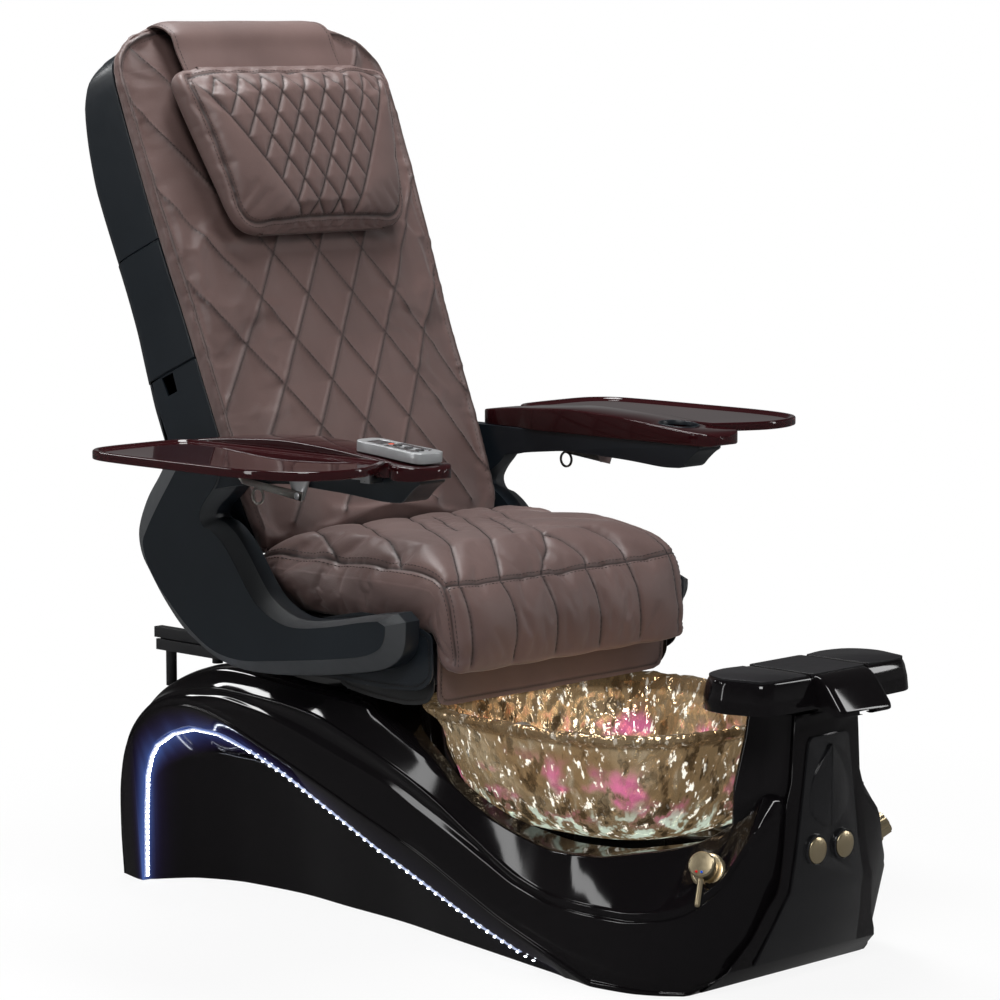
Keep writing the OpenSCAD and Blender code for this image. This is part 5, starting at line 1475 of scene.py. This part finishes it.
def pillow_outline(inset):
    """Rounded border of the pillow's face, closed, moved in by inset."""
    centre = np.array((0, 722.0))
    ring = eased([(-238, 866), (-192, 579), (192, 579), (238, 866)], [38, 46, 46, 38], 10)
    reach_out = np.abs(ring - centre).max(1, keepdims=True)
    ring = centre + (ring - centre) * (1 - inset / np.maximum(reach_out, 60))
    return np.concatenate([ring, ring[:1]])


NODE_STEP, FALL, TOP_Z, LOW_Z, FAN_HALF = 47.5, 1.585, 846.0, 597.0, 213.75
quilting = []
z = np.linspace(TOP_Z, LOW_Z, 60)
away = (TOP_Z - z) / FALL
for k in range(8):
    # Each line runs down from its top node to the edge of the fan.
    x = -166.25 + k * NODE_STEP + away
    for way in (1, -1):
        line = np.stack([way * x, z], 1)[x <= FAN_HALF - away + 0.5]
        if len(line) > 3:
            quilting.append(spaced(line, 6))
z = np.linspace(TOP_Z - 4, LOW_Z, 60)
for way in (1, -1):
    quilting.append(spaced(np.stack([way * (-FAN_HALF + (TOP_Z - z) / FALL), z], 1), 6))
seams = [(line, 2.6, 0.35) for line in quilting] + [(pillow_outline(14), 3.2, 0.4)]
sew(pillow, panel, front, seams, 3.4, 11)
sewing = stitches("pillow_stitching", pillow, panel, front,
                  quilting + [pillow_outline(18.5), pillow_outline(8.5)], pitch=6.5, length=4.4,
                  size=0.9)
leaned_cover(pillow, sewing, "head_pillow")

# ---- Strap over the back ----
# Wide doubled leather strap sewn to the pillow's top, over the cushion to the rear.
strap_line = spaced(curve([(-113, 856), (-109, 880), (-105, 905), (-104, 928), (-98, 944),
                           (-87, 956), (-71, 966), (-56, 969), (-47, 963), (-43, 948),
                           (-43, 925)], 5), 5)
tangent = np.gradient(strap_line, axis=0)
tangent /= np.linalg.norm(tangent, axis=1, keepdims=True)
away = np.stack([-tangent[:, 1], tangent[:, 0]], 1)
length = run_of(strap_line)
strap, i, j = sheet_grid("pillow_strap_leather", 73, len(strap_line))
STRAP_FROM, STRAP_TO = -200, 158
x, along = np.linspace(STRAP_FROM, STRAP_TO, 73)[i], length[j]
edge = np.minimum(np.minimum(x - STRAP_FROM, STRAP_TO - x), 60)
ripple = 1.3 * np.sin(x / 27.0 + along / 60) * np.exp(-((along - 50) / 60) ** 2)
puff = 1.6 * (1 - np.exp(-np.maximum(edge - HEM, 0) / 9))
puff -= 0.7 * np.exp(-((edge - HEM) / 1.8) ** 2)
droop = 6 * np.clip((np.abs(x) - 160) / 40, 0, 1) ** 2 * (strap_line[j][:, 1] > 938)
spot = strap_line[j] - np.stack([0 * droop, droop], 1) + away[j] * (1.6 + ripple + puff)[:, None]
put(strap, stood(spot, 0, x) * MM)
# Painted shade along the hem seams, read by the leather finish.
keep(strap, "seam", np.exp(-((edge - HEM) / 1.6) ** 2))
pick(strap)
edit(outward)
if facing(strap)[len(x) // 2][1] > 0:
    strap.data.flip_normals()
sewing = stitches("strap_stitching", strap, np.stack([x, along, 0 * x], 1),
                  np.ones(len(x), bool),
                  [np.array([(at, 4.0), (at, length[-1] - 4)])
                   for at in (STRAP_FROM + HEM, STRAP_TO - HEM)],
                  pitch=6.5, length=4.4, size=0.9, raised=1.6)
modify(strap, "SOLIDIFY", thickness=0.003, offset=0)
shade(strap, 60)
leaned_cover(strap, sewing, "pillow_strap")

# ---- Rear shell and massage carriage ----
# A deep charcoal shell, closed over the top, with two cross joints in its flanks;
# the massage carriage rides on two steel rods inside.
shell_rear = [(96, 96), (150, 112), (308, 121), (354, 121), (414, 116), (497, 106), (567, 99),
              (725, 95), (784, 86), (858, 65), (890, 48), (905, 36), (914, 24), (920, 8)]
back_sides = [(80, 264), (120, 270), (250, 278), (480, 282), (560, 288), (700, 295), (860, 299),
              (896, 295), (912, 286), (922, 276)]
rear_line = [(80, -36), (480, -37), (692, -44), (924, -52)]
LOW_JOINT, TOP_JOINT = 402, 605
levels = np.concatenate([[96, 98], np.arange(104, 392, 12), [397, 400, 401.4, 402.6, 404, 407],
                         np.arange(416, 594, 12), [600, 603, 604.4, 605.6, 607, 610],
                         np.arange(620, 860, 12), [866, 876, 886, 894, 901, 907, 912, 916, 919,
                                                   921.5, 922]])


def skin_ring(z):
    """Cross-section of the rear shell at z, drawn in at its two joints and between them."""
    h, y0, y1 = (flow(line, z)[0] for line in (back_sides, rear_line, shell_rear))
    y0 += 2
    y1 = max(y0 + 8, y1)
    at_joint = abs(z - LOW_JOINT) < 0.8 or abs(z - TOP_JOINT) < 0.8
    groove = 2.2 * at_joint - 1.6 * (LOW_JOINT < z < TOP_JOINT)
    deep = y1 - y0
    half = [(h - groove, y0), (h - 1 - groove, y0 + 0.5 * deep), (h - 6 - groove, y1 - 0.16 * deep),
            (h - 24, y1 - groove), (0.5 * h, y1 + 6 - groove), (0.18 * h, y1 + 9 - groove)]
    radii = [2, 20, 14, 16, 60, 60]
    return stood(eased(both_sides(half), radii + radii[::-1], 5), 2, z)


def hollow_ring(z):
    h, y0, y1 = (flow(line, z)[0] for line in (back_sides, rear_line, shell_rear))
    half = [(h - 5, y0 - 8), (h - 6, y1 - 22), (h - 28, y1 - 6), (0.2 * h, y1 + 3)]
    return stood(eased(both_sides(half), [1, 10, 14, 40, 40, 14, 10, 1]), 2, z)


shell = loft("rear_shell", [skin_ring(z) for z in levels], smooth=40)
carve(shell, loft("shell_hollow", [hollow_ring(z) for z in (94, 150, 308, 414, 497, 567, 725,
                                                            784, 858, 890)]))
for side in (-1, 1):
    carve(shell, prism("vent", [(30, 366), (56, 366), (60, 398), (28, 398)], 0, side * 266,
                       side * 310))
shade(shell, 40)
lean(shell)
stand_in(shell, moulded, "back_shell")
with_edges("massage_carriage", 1.2, moulded)
